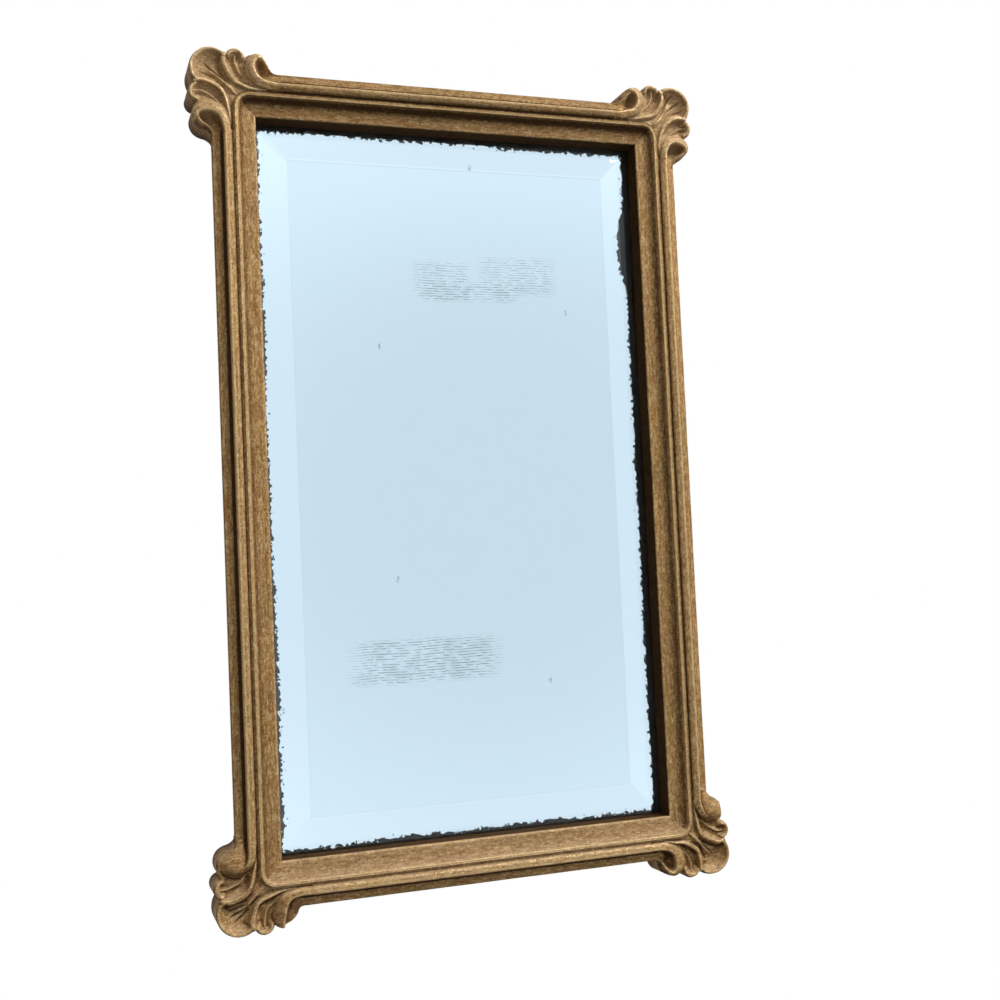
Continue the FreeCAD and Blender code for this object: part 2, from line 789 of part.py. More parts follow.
def make_board(doc, sizes, made, name, level):
    """Make one backboard with its nail holes; level is -1, 0 or 1 for bottom, middle or top."""
    body = doc.addObject("PartDesign::Body", name)
    half_width = made.board_width / 2
    half_height = made.board_height / 2
    outline = new_sketch(body, "XZ_Plane", f"{name}_outline")
    corners = [
        (-half_width, -half_height), (half_width, -half_height), (half_width, half_height), (-half_width, half_height),
    ]
    draw_path(outline, corners, {})
    pad(body, outline, f"{name}_sheet", sizes.board_thickness)
    stile_nail = sizes.sight_width / 2 + made.nail_out
    nails = [(stile_nail * hand, sizes.nail_spread * side) for hand in (-1, 1) for side in (-1, 1)]
    if level:
        rail_nail = sizes.sight_height / 2 + made.nail_out - made.board_pitch
        nails += [(along, rail_nail * level) for along in made.rail_nails]
    shanks = new_sketch(body, "XZ_Plane", f"{name}_shank_lines")
    heads = new_sketch(body, "XZ_Plane", f"{name}_head_lines")
    for nail in nails:
        draw_circle(shanks, nail, made.nail_hole)
        draw_circle(heads, nail, made.nail_head_hole)
    pocket(body, shanks, f"{name}_shank_holes")
    pocket(body, heads, f"{name}_head_holes", made.nail_head_depth)
    place(body, z=made.board_pitch * level)
    return body


def make_boards(doc, sizes, made):
    """Make the three backboards, one above the other."""
    levels = {"backboard_bottom": -1, "backboard_middle": 0, "backboard_top": 1}
    return [make_board(doc, sizes, made, name, level) for name, level in levels.items()]


def make_nails(doc, sizes, made):
    """Make the backboards' nails, driven from behind and sunk a little."""
    sides = []
    for name, (_, turn, x, z) in rail_places(sizes).items():
        nails = []
        for number, along in enumerate(made.stile_nails if name.endswith("stile") else made.rail_nails):
            head = cylinder(doc, f"{name}_nail_head_{number}", sizes.nail_head_radius, sizes.nail_head_thickness)
            shank = cylinder(doc, f"{name}_nail_shank_{number}", sizes.nail_radius, sizes.nail_length)
            place(head, along, -sizes.nail_sink, made.nail_out, axis=Vector(1, 0, 0), turn=90)
            place(shank, along, -made.nail_head_depth, made.nail_out, axis=Vector(1, 0, 0), turn=90)
            nails.append(fuse(doc, f"{name}_nail_{number}", [head, shank]))
        side = group(doc, f"{name}_nails", nails)
        place(side, x, 0, z, turn=turn)
        sides.append(side)
    return group(doc, "backboard_nails", sides)


# Hangers

def make_strap(doc, sizes, made, name):
    """Make one hanger strap: a round-ended plate with a rolled eye at its top."""
    body = doc.addObject("PartDesign::Body", f"{name}_tongue")
    half = sizes.strap_width / 2
    straight = half - sizes.strap_length
    outline = new_sketch(body, "XZ_Plane", f"{name}_outline")
    corners = [(half, as_size(0)), (-half, as_size(0)), (-half, straight), (half, straight)]
    draw_path(outline, corners, {2: ((as_size(0), straight), half, True)})
    for drop in made.screw_drops:
        draw_circle(outline, (as_size(0), -drop), made.screw_hole + sizes.strap_hole_clearance)
    pad(body, outline, f"{name}_sheet", sizes.strap_thickness, backward=True)
    roll = cylinder(doc, f"{name}_roll", made.eye_radius, sizes.strap_width)
    bore = cylinder(doc, f"{name}_bore", made.eye_bore, sizes.strap_width + OVERRUN)
    for item, length in ((roll, sizes.strap_width), (bore, sizes.strap_width + OVERRUN)):
        place(item, -(length / 2), made.eye_radius, turn=90)
    return cut(doc, name, fuse(doc, f"{name}_blank", [body, roll]), bore)


def make_ring(doc, sizes, made, name):
    """Make one D-ring: a bar through the eye, two short arms and a round bow."""
    body = doc.addObject("PartDesign::Body", name)
    half = made.ring_half
    bend = sizes.ring_corner
    path = new_sketch(body, "XZ_Plane", f"{name}_path")
    none = as_size(0)
    corners = [
        (none, none), (half - bend, none), (half, bend), (half, sizes.ring_arm),
        (-half, sizes.ring_arm), (-half, bend), (bend - half, none),
    ]
    arcs = {
        1: ((half - bend, bend), bend, True),
        3: ((none, sizes.ring_arm), half, True),
        5: ((bend - half, bend), bend, True),
    }
    draw_path(path, corners, arcs)
    wire = new_sketch(body, "YZ_Plane", f"{name}_section")
    draw_circle(wire, (none, none), sizes.wire_radius)
    pipe(body, wire, path, f"{name}_bow")
    return body


def make_screws(doc, sizes, made, name):
    """Make one strap's screws, domed and slotted."""
    screws = []
    for number, drop in enumerate(made.screw_drops):
        shank = cylinder(doc, f"{name}_shank_{number}", sizes.screw_radius, sizes.screw_length)
        place(shank, 0, sizes.strap_thickness, -drop, axis=Vector(1, 0, 0), turn=90)
        dome = doc.addObject("Part::Ellipsoid", f"{name}_dome_{number}")
        bind(dome, Radius1=sizes.screw_head_height, Radius2=sizes.screw_head_radius, Radius3=sizes.screw_head_radius)
        bind(dome, Angle1=0, Angle2=90)
        place(dome, 0, sizes.strap_thickness, -drop, axis=Vector(1, 0, 0), turn=-90)
        slot = box(doc, f"{name}_slot_{number}", sizes.screw_head_radius * 2, sizes.screw_slot_depth * 2,
                   sizes.screw_slot_width)
        top = sizes.strap_thickness + sizes.screw_head_height
        place(slot, -sizes.screw_head_radius, top - sizes.screw_slot_depth, -(drop + sizes.screw_slot_width / 2))
        head = cut(doc, f"{name}_head_{number}", dome, slot)
        screws.append(fuse(doc, f"{name}_{number}", [head, shank]))
    return group(doc, name, screws)


def make_hangers(doc, sizes, made):
    """Make both hangers on the backs of the stiles, each with its ring turned up against the frame."""
    pieces = []
    for hand, sign in (("left", -1), ("right", 1)):
        x = (sizes.sight_width / 2 + made.hanger_out) * sign
        strap = make_strap(doc, sizes, made, f"hanger_strap_{hand}")
        place(strap, x, -sizes.board_thickness, sizes.hanger_height)
        screws = make_screws(doc, sizes, made, f"hanger_screws_{hand}")
        place(screws, x, -sizes.board_thickness, sizes.hanger_height)
        ring = make_ring(doc, sizes, made, f"hanger_ring_{hand}")
        place(ring, x, made.eye_radius - sizes.board_thickness, sizes.hanger_height, axis=Vector(1, 0, 0), turn=1)
        bind(ring, **{"Placement.Rotation.Angle": made.ring_lean})
        pieces += [strap, ring, screws]
    return pieces


# Checks and files

def check_objects(doc):
    """Stop if any object of the document failed."""
    for item in doc.Objects:
        if "Invalid" in item.State or "Error" in item.State:
            raise RuntimeError(f"{item.Name} failed: {item.State}")


def check_piece(piece):
    """Stop if a sub-part's shape is empty, open or not valid."""
    shape = piece.Shape
    if shape.isNull() or not shape.isValid() or not shape.Solids:
        raise RuntimeError(f"{piece.Label} has no valid solid")


def main():
    """Build the mirror and write each sub-part to its own file."""
    doc = FreeCAD.newDocument("carved_mirror")
    sizes = make_sheet(doc)
    made = work_out(sizes)
    pieces = make_rails(doc, sizes, made)
    pieces += make_carvings(doc, sizes, made)
    pieces += make_mitre_keys(doc, sizes, made)
    pieces += [make_plate(doc, sizes, made), make_coat(doc, sizes, made), make_blocks(doc, sizes, made)]
    pieces += make_boards(doc, sizes, made)
    pieces.append(make_nails(doc, sizes, made))
    pieces += make_hangers(doc, sizes, made)
    doc.recompute()
    check_objects(doc)
    for piece in pieces:
        check_piece(piece)
    os.makedirs("parts", exist_ok=True)
    for piece in pieces:
        piece.Shape.exportStep(f"parts/{piece.Label}.step")
        solids = len(piece.Shape.Solids)
        print(f"{piece.Label}: {solids} solid(s), {piece.Shape.Volume:.1f} cubic mm")


main()
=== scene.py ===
"""Dresses the carved and gilded wall mirror.

The front faces -Y, Z is up and the wall is at y = 0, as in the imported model. Sizes in the classes are
millimetres and meshes are written in metres. Along the moulding, "out" is the distance outward from the sight
edge and "rise" is the height above the sight plane, the plane of the flat band beside the glass. In a corner,
"along" and "out" are both measured outward from the sight corner, so the mitre is the line where they are
equal.
"""

import enum
import logging
import math
from dataclasses import astuple, dataclass

import bpy
import numpy as np
from mathutils import Matrix, Vector

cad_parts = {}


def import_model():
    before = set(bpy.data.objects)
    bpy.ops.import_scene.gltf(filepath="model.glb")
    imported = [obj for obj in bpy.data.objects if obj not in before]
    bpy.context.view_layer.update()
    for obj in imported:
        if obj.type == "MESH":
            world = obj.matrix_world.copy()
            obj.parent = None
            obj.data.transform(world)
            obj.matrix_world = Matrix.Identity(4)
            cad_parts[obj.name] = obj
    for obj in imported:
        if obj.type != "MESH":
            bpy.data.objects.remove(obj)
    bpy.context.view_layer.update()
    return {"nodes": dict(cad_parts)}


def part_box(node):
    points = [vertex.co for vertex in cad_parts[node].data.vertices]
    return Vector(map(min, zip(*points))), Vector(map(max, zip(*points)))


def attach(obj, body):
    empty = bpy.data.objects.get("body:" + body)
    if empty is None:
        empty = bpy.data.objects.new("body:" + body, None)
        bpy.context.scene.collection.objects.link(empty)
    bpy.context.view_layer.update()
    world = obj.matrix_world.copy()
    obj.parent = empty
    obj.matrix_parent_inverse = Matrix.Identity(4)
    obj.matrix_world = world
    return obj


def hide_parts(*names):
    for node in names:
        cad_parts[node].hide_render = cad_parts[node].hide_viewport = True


log = logging.getLogger("carved_mirror")

MM = 0.001
ROOT_BODY = "frame"

CREASE = math.radians(50.0)
WHITE = (1.0, 1.0, 1.0, 1.0)

# Power of the curve that rounds a roll, where 2 is a circle
ROLL_POWER = 2.2

# Painted shade on the top rail: its front is darkened as much as a face that looks down this far
TOP_PAINTED_SHADE = -0.38

Array = np.ndarray
Colour = tuple[int, int, int]
Shade = tuple[float, float, float, float]
Point = tuple[float, float]
Place = tuple[float, float, float]


class Grain(enum.Enum):
    """The way the wood's grain runs in a piece."""

    ACROSS = "x"
    UPRIGHT = "z"

    def scale(self, length: float, width: float) -> Place:
        """Return the scale for cells of a length along the grain and a width across it, in millimetres."""
        long, short = 1.0 / (length * MM), 1.0 / (width * MM)
        return (long, short, short) if self is Grain.ACROSS else (short, short, long)


class Side(enum.Enum):
    """The four sides of the frame: node name and quarter turns clockwise from the top."""

    TOP = ("top_rail", 0)
    RIGHT = ("right_stile", 1)
    BOTTOM = ("bottom_rail", 2)
    LEFT = ("left_stile", 3)

    @property
    def node(self) -> str:
        """The CAD node of this side."""
        return self.value[0]

    @property
    def turns(self) -> int:
        """Quarter turns clockwise from the top."""
        return self.value[1]

    @property
    def upright(self) -> bool:
        """True for the stiles."""
        return self.turns % 2 == 1


class Corner(enum.Enum):
    """The four corners: node name, and the signs of x and z there."""

    TOP_LEFT = ("corner_carving_top_left", -1, 1)
    TOP_RIGHT = ("corner_carving_top_right", 1, 1)
    BOTTOM_LEFT = ("corner_carving_bottom_left", -1, -1)
    BOTTOM_RIGHT = ("corner_carving_bottom_right", 1, -1)

    @property
    def node(self) -> str:
        """The CAD node of this corner."""
        return self.value[0]

    @property
    def hand(self) -> int:
        """The sign of x at this corner."""
        return self.value[1]

    @property
    def level(self) -> int:
        """The sign of z at this corner."""
        return self.value[2]

    @property
    def arms(self) -> tuple["Arm", "Arm"]:
        """The kinds of its arm on the rail and of its arm on the stile."""
        rail = Arm.OPEN if self is Corner.BOTTOM_LEFT else Arm.SCOOPED
        return rail, Arm.SCOOPED if self.level > 0 else Arm.KNOB


class Arm(enum.Enum):
    """How an arm of a carving ends, with the level of the ground at its end."""

    SCOOPED = -2.8
    OPEN = -2.6
    KNOB = 1.6


# Arithmetic on arrays

def ease(low: float, high: float, value: Array) -> Array:
    """Rise smoothly from 0 at low to 1 at high, as t * t * (3 - 2 * t)."""
    t = np.clip((value - low) / (high - low), 0.0, 1.0)
    return t * t * (3.0 - 2.0 * t)


def blend(first: Array, second: Array | float, share: Array) -> Array:
    """Go a share of the way from one array to another: first + (second - first) * share."""
    return first + (second - first) * share


def waver(
    x: Array, z: Array, seed: int, length: float, count: int = 7, spread: Point = (0.6, 1.6)
) -> Array:
    """Return the slow unevenness of hand work, between about -1 and 1.

    It is the mean of sine waves in seeded directions, each of a wavelength near the given one.

    Args:
        x: Places across the mirror, in millimetres.
        z: Places up the mirror, in millimetres.
        seed: Seed of the directions and phases.
        length: Middle wavelength, in millimetres.
        count: Number of waves.
        spread: Shortest and longest wavelength, as shares of the middle one.

    Returns:
        The unevenness at each place.
    """
    draw = np.random.default_rng(seed)
    heading = draw.uniform(0.0, 2.0 * math.pi, count)
    phase = draw.uniform(0.0, 2.0 * math.pi, count)
    pitch = 2.0 * math.pi / (length * draw.uniform(*spread, count))
    way = x[..., None] * np.cos(heading) + z[..., None] * np.sin(heading)
    return np.sin(way * pitch + phase).sum(-1) / math.sqrt(count)


def running_mean(values: Array, window: int, axis: int) -> Array:
    """Return the mean over a window of neighbours, as differences of a running sum.

    Args:
        values: Values on a grid.
        window: Odd number of neighbours.
        axis: The axis they are counted along, its ends held.

    Returns:
        The mean around each value.
    """
    half = window // 2
    pads = [(0, 0)] * values.ndim
    pads[axis] = (half + 1, half)
    total = np.cumsum(np.pad(values, pads, mode="edge"), axis=axis)
    high = np.take(total, np.arange(window, total.shape[axis]), axis=axis)
    low = np.take(total, np.arange(0, total.shape[axis] - window), axis=axis)
    return (high - low) / window


def arc(centre: Point, radius: float, start: float, end: float, count: int) -> Array:
    """Return points on an arc: centre + radius * (cos, sin) of angles from start to end, in degrees."""
    angle = np.radians(np.linspace(start, end, count))
    return np.column_stack([centre[0] + radius * np.cos(angle), centre[1] + radius * np.sin(angle)])


def bearing(centre: Point, point: Point) -> float:
    """Return the direction from a centre to a point, in degrees."""
    return math.degrees(math.atan2(point[1] - centre[1], point[0] - centre[0]))


def circles_meet(first: Point, first_radius: float, second: Point, second_radius: float) -> Point:
    """Return where two circles cross, on the side further out.

    It is the foot on the line of centres plus half the chord.

    Args:
        first: One centre.
        first_radius: Its radius.
        second: The other centre.
        second_radius: Its radius.

    Returns:
        The crossing.
    """
    one = np.array(first)
    gap = np.array(second) - one
    length = float(np.hypot(*gap))
    along = (length**2 + first_radius**2 - second_radius**2) / (2.0 * length)
    aside = math.sqrt(first_radius**2 - along**2)
    step = gap / length
    square = np.array([-step[1], step[0]])
    ways = [one + step * along + square * (aside * sign) for sign in (-1.0, 1.0)]
    best = max(ways, key=lambda way: way.sum())
    return float(best[0]), float(best[1])


# Meshes

def loop_faces(rows: int, columns: int) -> list[list[int]]:
    """Return the faces of a skin of closed loops: quads between neighbouring rows, and a cap at each end.

    Args:
        rows: Number of loops.
        columns: Points in each loop.

    Returns:
        Faces as lists of point numbers, with points counted row by row.
    """
    row, column = np.meshgrid(np.arange(rows - 1), np.arange(columns), indexing="ij")
    start, after = row * columns + column, row * columns + (column + 1) % columns
    faces = np.stack([start, after, after + columns, start + columns], -1).reshape(-1, 4).tolist()
    faces.append(list(range(columns - 1, -1, -1)))
    faces.append(list(range((rows - 1) * columns, rows * columns)))
    return faces


def make_piece(
    name: str, x: Array, y: Array, z: Array, marks: dict[str, Array], flip: bool
) -> bpy.types.Object:
    """Put a skin of closed loops into a mesh object with smooth shading and sharp creases.

    Args:
        name: Name of the piece.
        x: Places across the mirror in millimetres, with a row for each loop.
        y: Places in its depth.
        z: Places up it.
        marks: Values by point, kept as attributes for the finish.
        flip: Whether the faces are turned round to point outward.

    Returns:
        The new object, linked to the scene.
    """
    points = np.stack([x, y, z], -1).reshape(-1, 3)
    faces = loop_faces(*x.shape)
    if flip:
        faces = [face[::-1] for face in faces]
    mesh = bpy.data.meshes.new(name)
    mesh.from_pydata((points * MM).tolist(), [], faces)
    for mark, values in marks.items():
        layer = mesh.attributes.new(mark, "FLOAT", "POINT")
        layer.data.foreach_set("value", values.astype(np.float32).ravel())
    mesh.update()
    mesh.shade_smooth()
    mesh.set_sharp_from_angle(angle=CREASE)
    piece = bpy.data.objects.new(name, mesh)
    bpy.context.scene.collection.objects.link(piece)
    return piece


def upward(x: Array, y: Array, z: Array) -> Array:
    """Return how far a grid of points, seen from the front, faces up: the z part of its unit normal.

    Args:
        x: Places across the mirror.
        y: Places in its depth.
        z: Places up it.

    Returns:
        A value from -1 to 1 at each point.
    """
    grid = np.stack([x, y, z], -1)
    normal = np.cross(np.gradient(grid, axis=0), np.gradient(grid, axis=1))
    length = np.maximum(np.linalg.norm(normal, axis=-1), 1e-9)
    return -normal[..., 2] / length * np.sign(normal[..., 1])


def stand_for(piece: bpy.types.Object, finish: bpy.types.Material, node: str) -> None:
    """Give a piece its finish and let it replace a CAD node on the frame's body.

    Args:
        piece: The piece.
        finish: Its finish.
        node: The CAD node.
    """
    piece.data.materials.append(finish)
    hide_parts(node)
    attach(piece, ROOT_BODY)


# Finishes

def linear(colour: Colour) -> Shade:
    """Return an 8-bit screen colour as the linear colour that a shader takes.

    Args:
        colour: Red, green and blue up to 255.

    Returns:
        Red, green and blue up to 1, and an alpha of 1.
    """
    parts = [part / 255.0 for part in colour]
    low, knee, slope, lift, power = 12.92, 0.04045, 1.055, 0.055, 2.4
    made = [part / low if part <= knee else ((part + lift) / slope) ** power for part in parts]
    return made[0], made[1], made[2], 1.0


class Value:
    """A number in a node tree. Arithmetic on it adds Math nodes."""

    def __init__(self, tree: "Tree", socket: bpy.types.NodeSocket) -> None:
        """Hold a socket and the tree it is in."""
        self.tree = tree
        self.socket = socket

    def maths(self, operation: str, first: object, second: object, clamp: bool = False) -> "Value":
        """Add a Math node on two values."""
        settings = {"operation": operation, "use_clamp": clamp}
        return self.tree.node("ShaderNodeMath", settings, {0: first, 1: second})

    def __add__(self, other: object) -> "Value":
        """Add."""
        return self.maths("ADD", self, other)

    def __radd__(self, other: object) -> "Value":
        """Add, reflected."""
        return self.maths("ADD", other, self)

    def __sub__(self, other: object) -> "Value":
        """Take away."""
        return self.maths("SUBTRACT", self, other)

    def __rsub__(self, other: object) -> "Value":
        """Take away, reflected."""
        return self.maths("SUBTRACT", other, self)

    def __mul__(self, other: object) -> "Value":
        """Multiply."""
        return self.maths("MULTIPLY", self, other)

    def __rmul__(self, other: object) -> "Value":
        """Multiply, reflected."""
        return self.maths("MULTIPLY", other, self)

    def __truediv__(self, other: object) -> "Value":
        """Divide."""
        return self.maths("DIVIDE", self, other)

    def least(self, other: object) -> "Value":
        """Return the smaller of two values."""
        return self.maths("MINIMUM", self, other)

    def most(self, other: object) -> "Value":
        """Return the larger of two values."""
        return self.maths("MAXIMUM", self, other)

    def size(self) -> "Value":
        """Return the value without its sign."""
        return self.maths("ABSOLUTE", self, 0.0)

    def held(self) -> "Value":
        """Return the value kept between 0 and 1."""
        return self.maths("ADD", self, 0.0, clamp=True)

    def swing(self, size: float) -> "Value":
        """Return a noise about 0, times a size."""
        return (self - 0.5) * size

    def toward(self, other: object, share: object) -> "Value":
        """Go a share of the way to another value."""
        return self + (other - self) * share

    def eased(self, low: float, high: float) -> "Value":
        """Rise smoothly from 0 at low to 1 at high, or fall if high is below low.

        Args:
            low: Where it is 0.
            high: Where it is 1.

        Returns:
            The eased value.
        """
        settings = {"interpolation_type": "SMOOTHSTEP"}
        ends = {"From Min": min(low, high), "From Max": max(low, high)}
        made = self.tree.node("ShaderNodeMapRange", settings, {"Value": self, **ends})
        return made if low < high else 1.0 - made


class Tree:
    """The nodes of a material or of the world."""

    def __init__(self, owner: bpy.types.Material | bpy.types.World) -> None:
        """Start with no nodes.

        Args:
            owner: The material or world.
        """
        owner.use_nodes = True
        self.owner = owner
        self.tree = owner.node_tree
        self.tree.nodes.clear()

    @classmethod
    def material(cls, name: str) -> "Tree":
        """Return the nodes of a new material."""
        return cls(bpy.data.materials.new(name))

    def node(
        self,
        kind: str,
        settings: dict[str, object] | None = None,
        inputs: dict[str | int, object] | None = None,
        output: str | int = 0,
    ) -> Value:
        """Add a node, set it up and fill or link its sockets.

        Args:
            kind: Type of the node.
            settings: Properties of the node, set first.
            inputs: Numbers, colours or Values by socket name or number.
            output: The output to return.

        Returns:
            One output of the node.
        """
        made = self.tree.nodes.new(kind)
        for name, value in (settings or {}).items():
            setattr(made, name, value)
        for name, value in (inputs or {}).items():
            if isinstance(value, Value):
                self.tree.links.new(value.socket, made.inputs[name])
            else:
                made.inputs[name].default_value = value
        return Value(self, made.outputs[output])

    def place(self) -> Value:
        """Return Object coordinates."""
        return self.node("ShaderNodeTexCoord", output="Object")

    def axis(self, letter: str) -> Value:
        """Return one Object coordinate, in metres."""
        return self.node("ShaderNodeSeparateXYZ", inputs={"Vector": self.place()}, output=letter.upper())

    def stretched(self, scale: Place) -> Value:
        """Return Object coordinates times a scale on each axis."""
        return self.node("ShaderNodeVectorMath", {"operation": "MULTIPLY"}, {0: self.place(), 1: scale})

    def noise(self, vector: Value, scale: float, detail: float = 2.0, rough: float = 0.5) -> Value:
        """Return a noise value, mostly between 0.3 and 0.7."""
        inputs = {"Vector": vector, "Scale": scale, "Detail": detail, "Roughness": rough}
        return self.node("ShaderNodeTexNoise", {"noise_dimensions": "3D"}, inputs, "Fac")

    def cells(self, vector: Value, scale: float, dimensions: str = "3D") -> Value:
        """Return the distance from the nearest of scattered points."""
        settings = {"feature": "F1", "voronoi_dimensions": dimensions}
        return self.node("ShaderNodeTexVoronoi", settings, {"Vector": vector, "Scale": scale}, "Distance")

    def mark(self, name: str) -> Value:
        """Return an attribute of the mesh."""
        return self.node("ShaderNodeAttribute", {"attribute_name": name}, output="Fac")

    def mix(self, share: object, first: object, second: object) -> Value:
        """Return a mix of two colours."""
        return self.node("ShaderNodeMix", {"data_type": "RGBA"}, {0: share, 6: first, 7: second}, 2)

    def bump(self, height: Value, depth: float, strength: float) -> Value:
        """Return a normal tilted by a height, where 1 is depth metres."""
        inputs = {"Height": height, "Distance": depth, "Strength": strength}
        return self.node("ShaderNodeBump", inputs=inputs, output="Normal")

    def finish(self, **sockets: object) -> bpy.types.Material:
        """End the material in one shader.

        Args:
            sockets: Its inputs, with underscores for the spaces in their names.

        Returns:
            The material.
        """
        inputs = {name.replace("_", " "): value for name, value in sockets.items()}
        self.end(self.node("ShaderNodeBsdfPrincipled", inputs=inputs))
        return self.owner

    def end(self, shader: Value) -> None:
        """Link a shader to the output.

        Args:
            shader: The shader.
        """
        kind = "World" if isinstance(self.owner, bpy.types.World) else "Material"
        end = self.tree.nodes.new(f"ShaderNodeOutput{kind}")
        self.tree.links.new(shader.socket, end.inputs["Surface"])


@dataclass(frozen=True)
class Band:
    """How a pattern tells: it comes in smoothly between two levels, up to a share."""

    low: float
    high: float
    share: float = 1.0

    def of(self, value: Value) -> Value:
        """Return how strongly a value tells."""
        told = value.eased(self.low, self.high)
        return told if self.share == 1.0 else told * self.share


@dataclass(frozen=True)
class Mottle:
    """A noise pattern: so many cells to the metre, or cells of a length along the grain and a width."""

    detail: float
    rough: float = 0.5
    cells: float = 1.0
    cell_size: Point | None = None

    def laid(self, tree: Tree, grain: Grain) -> Value:
        """Return the pattern on a piece.

        Args:
            tree: The nodes of its finish.
            grain: The way its grain runs.

        Returns:
            A value mostly between 0.3 and 0.7.
        """
        place = tree.stretched(grain.scale(*self.cell_size)) if self.cell_size else tree.place()
        return tree.noise(place, self.cells, self.detail, self.rough)


class Pattern(enum.Enum):
    """The patterns in the gilt, from broad clouds of tone to fine pits."""

    TARNISH = Mottle(4.0, 0.65, cells=16.0)
    CLOUD = Mottle(3.0, cells=34.0)
    GRIT = Mottle(4.0, 0.75, cells=430.0)
    MOTTLE = Mottle(3.0, 0.6, cells=620.0)
    PITS = Mottle(1.0, cells=950.0)
    STREAK = Mottle(3.0, cell_size=(50.0, 1.8))
    FLECKS = Mottle(4.0, 0.7, cell_size=(6.0, 1.5))
    DASHES = Mottle(2.0, cell_size=(3.0, 0.9))


# Tones of the gilt; BRIGHT also paints glints on raised parts
RUDDY: Colour = (146, 102, 62)
OLIVE: Colour = (152, 126, 66)
UMBER: Colour = (124, 86, 46)
WORN: Colour = (222, 191, 142)
BRIGHT: Colour = (244, 220, 172)


@dataclass(frozen=True)
class Wash:
    """A tone that is laid on where a pattern tells."""

    pattern: Pattern
    band: Band
    tone: Colour


@dataclass(frozen=True)
class GiltFinish:
    """Old gold leaf and brown toner on carved wood, worn bright on high parts and dark in hollows with toner
    and painted shade; faces that look up take dust and painted light, faces that look down painted shade, and
    raised parts painted glints.
    """

    body: Colour = (174, 131, 76)
    dust_and_light_tone: Colour = (206, 186, 156)
    shade: Colour = (42, 22, 5)
    pore: Colour = (70, 44, 20)
    wood: Colour = (122, 88, 56)
    washes: tuple[Wash, ...] = (
        Wash(Pattern.CLOUD, Band(0.35, 0.70, 0.5), RUDDY),
        Wash(Pattern.TARNISH, Band(0.48, 0.68, 0.5), OLIVE),
        Wash(Pattern.FLECKS, Band(0.50, 0.64, 0.6), WORN),
        Wash(Pattern.FLECKS, Band(0.50, 0.36, 0.7), UMBER),
        Wash(Pattern.GRIT, Band(0.52, 0.68, 0.3), BRIGHT),
        Wash(Pattern.GRIT, Band(0.50, 0.34, 0.5), UMBER),
    )
    # Dust and painted light from above, on faces that look up
    dust_and_top_light: Band = Band(0.1, 0.8)
    # Painted shade on faces that look down
    under: Band = Band(-0.1, -0.75, 0.65)
    dashes: Band = Band(0.56, 0.70, 0.7)
    pits: Band = Band(0.58, 0.70, 0.8)
    wear: Band = Band(0.15, 0.95)
    cavity: Band = Band(0.05, 0.9)
    painted_glint: Band = Band(0.54, 0.68, 0.4)
    raised: Band = Band(0.0, 0.6)
    timber: Band = Band(0.35, 0.65)
    uneven: float = 1.4
    hollow_uneven: float = 0.6
    dust_light_fill: float = 0.75
    streak_start: float = 0.42
    streak_share: float = 0.6
    worn_share: float = 0.42
    dust_light_share: float = 0.25
    hollow_share: float = 0.9
    pore_share: float = 0.5
    pore_worn: float = 0.15
    metal: float = 0.08
    gleam: float = 0.32
    pore_dull: float = 0.6
    rough: float = 0.46
    pore_rough: float = 0.2
    hollow_rough: float = 0.2
    bare_rough: float = 0.3
    mottle_rough: float = 0.3
    mottle_height: float = 0.4
    streak_height: float = 0.2
    pore_depth: float = 0.7
    sheen: float = 0.08
    bump_depth: float = 0.3
    bump_strength: float = 0.7

    def material(self, name: str, grain: Grain) -> bpy.types.Material:
        """Make the gilt for one way of the grain.

        Args:
            name: Name of the material.
            grain: The way the pores run.

        Returns:
            The material.
        """
        tree = Tree.material(name)
        laid = {pattern: pattern.value.laid(tree, grain) for pattern in Pattern}
        mottle, streak = laid[Pattern.MOTTLE], laid[Pattern.STREAK]
        relief, bare, facing = (tree.mark(mark) for mark in ("relief", "bare", "upward"))
        # Dust and painted light from above, on faces that look up
        dust_and_top_light = self.dust_and_top_light.of(facing)
        pores = (self.dashes.of(laid[Pattern.DASHES]) + self.pits.of(laid[Pattern.PITS])).held()
        uneven = mottle.swing(self.uneven)
        worn = self.wear.of(relief + uneven)
        cavity = self.cavity.of(uneven * self.hollow_uneven - relief)
        # Toner and painted shade in hollows, less where dust and painted light lie, plus painted shade on
        # faces that look down
        hollow = (cavity * (1.0 - dust_and_top_light * self.dust_light_fill) + self.under.of(facing)).held()
        colour = linear(self.body)
        for wash in self.washes:
            colour = tree.mix(wash.band.of(laid[wash.pattern]), colour, linear(wash.tone))
        coats = (
            ((streak - self.streak_start).held() * self.streak_share, WORN),
            (worn * self.worn_share, WORN),
            (dust_and_top_light * self.dust_light_share, self.dust_and_light_tone),
            # Painted glints: bright flecks on the raised parts
            (self.painted_glint.of(mottle) * self.raised.of(relief), BRIGHT),
            (hollow * self.hollow_share, self.shade),
            (pores * (self.pore_share - worn * self.pore_worn), self.pore),
        )
        for share, tone in coats:
            colour = tree.mix(share, colour, linear(tone))
        timber = tree.mix(self.timber.of(streak), linear(self.wood), linear(self.shade))
        rough = self.rough + pores * self.pore_rough + hollow * self.hollow_rough
        rough = rough + bare * self.bare_rough + mottle.swing(self.mottle_rough)
        metal = (self.metal + worn * self.gleam) * (1.0 - pores * self.pore_dull)
        metal = metal * (1.0 - hollow) * (1.0 - bare)
        height = mottle * self.mottle_height + streak * self.streak_height - pores * self.pore_depth
        return tree.finish(
            Base_Color=tree.mix(bare, colour, timber),
            Roughness=rough,
            Metallic=metal,
            Specular_IOR_Level=self.sheen,
            Normal=tree.bump(height, self.bump_depth * MM, self.bump_strength),
        )


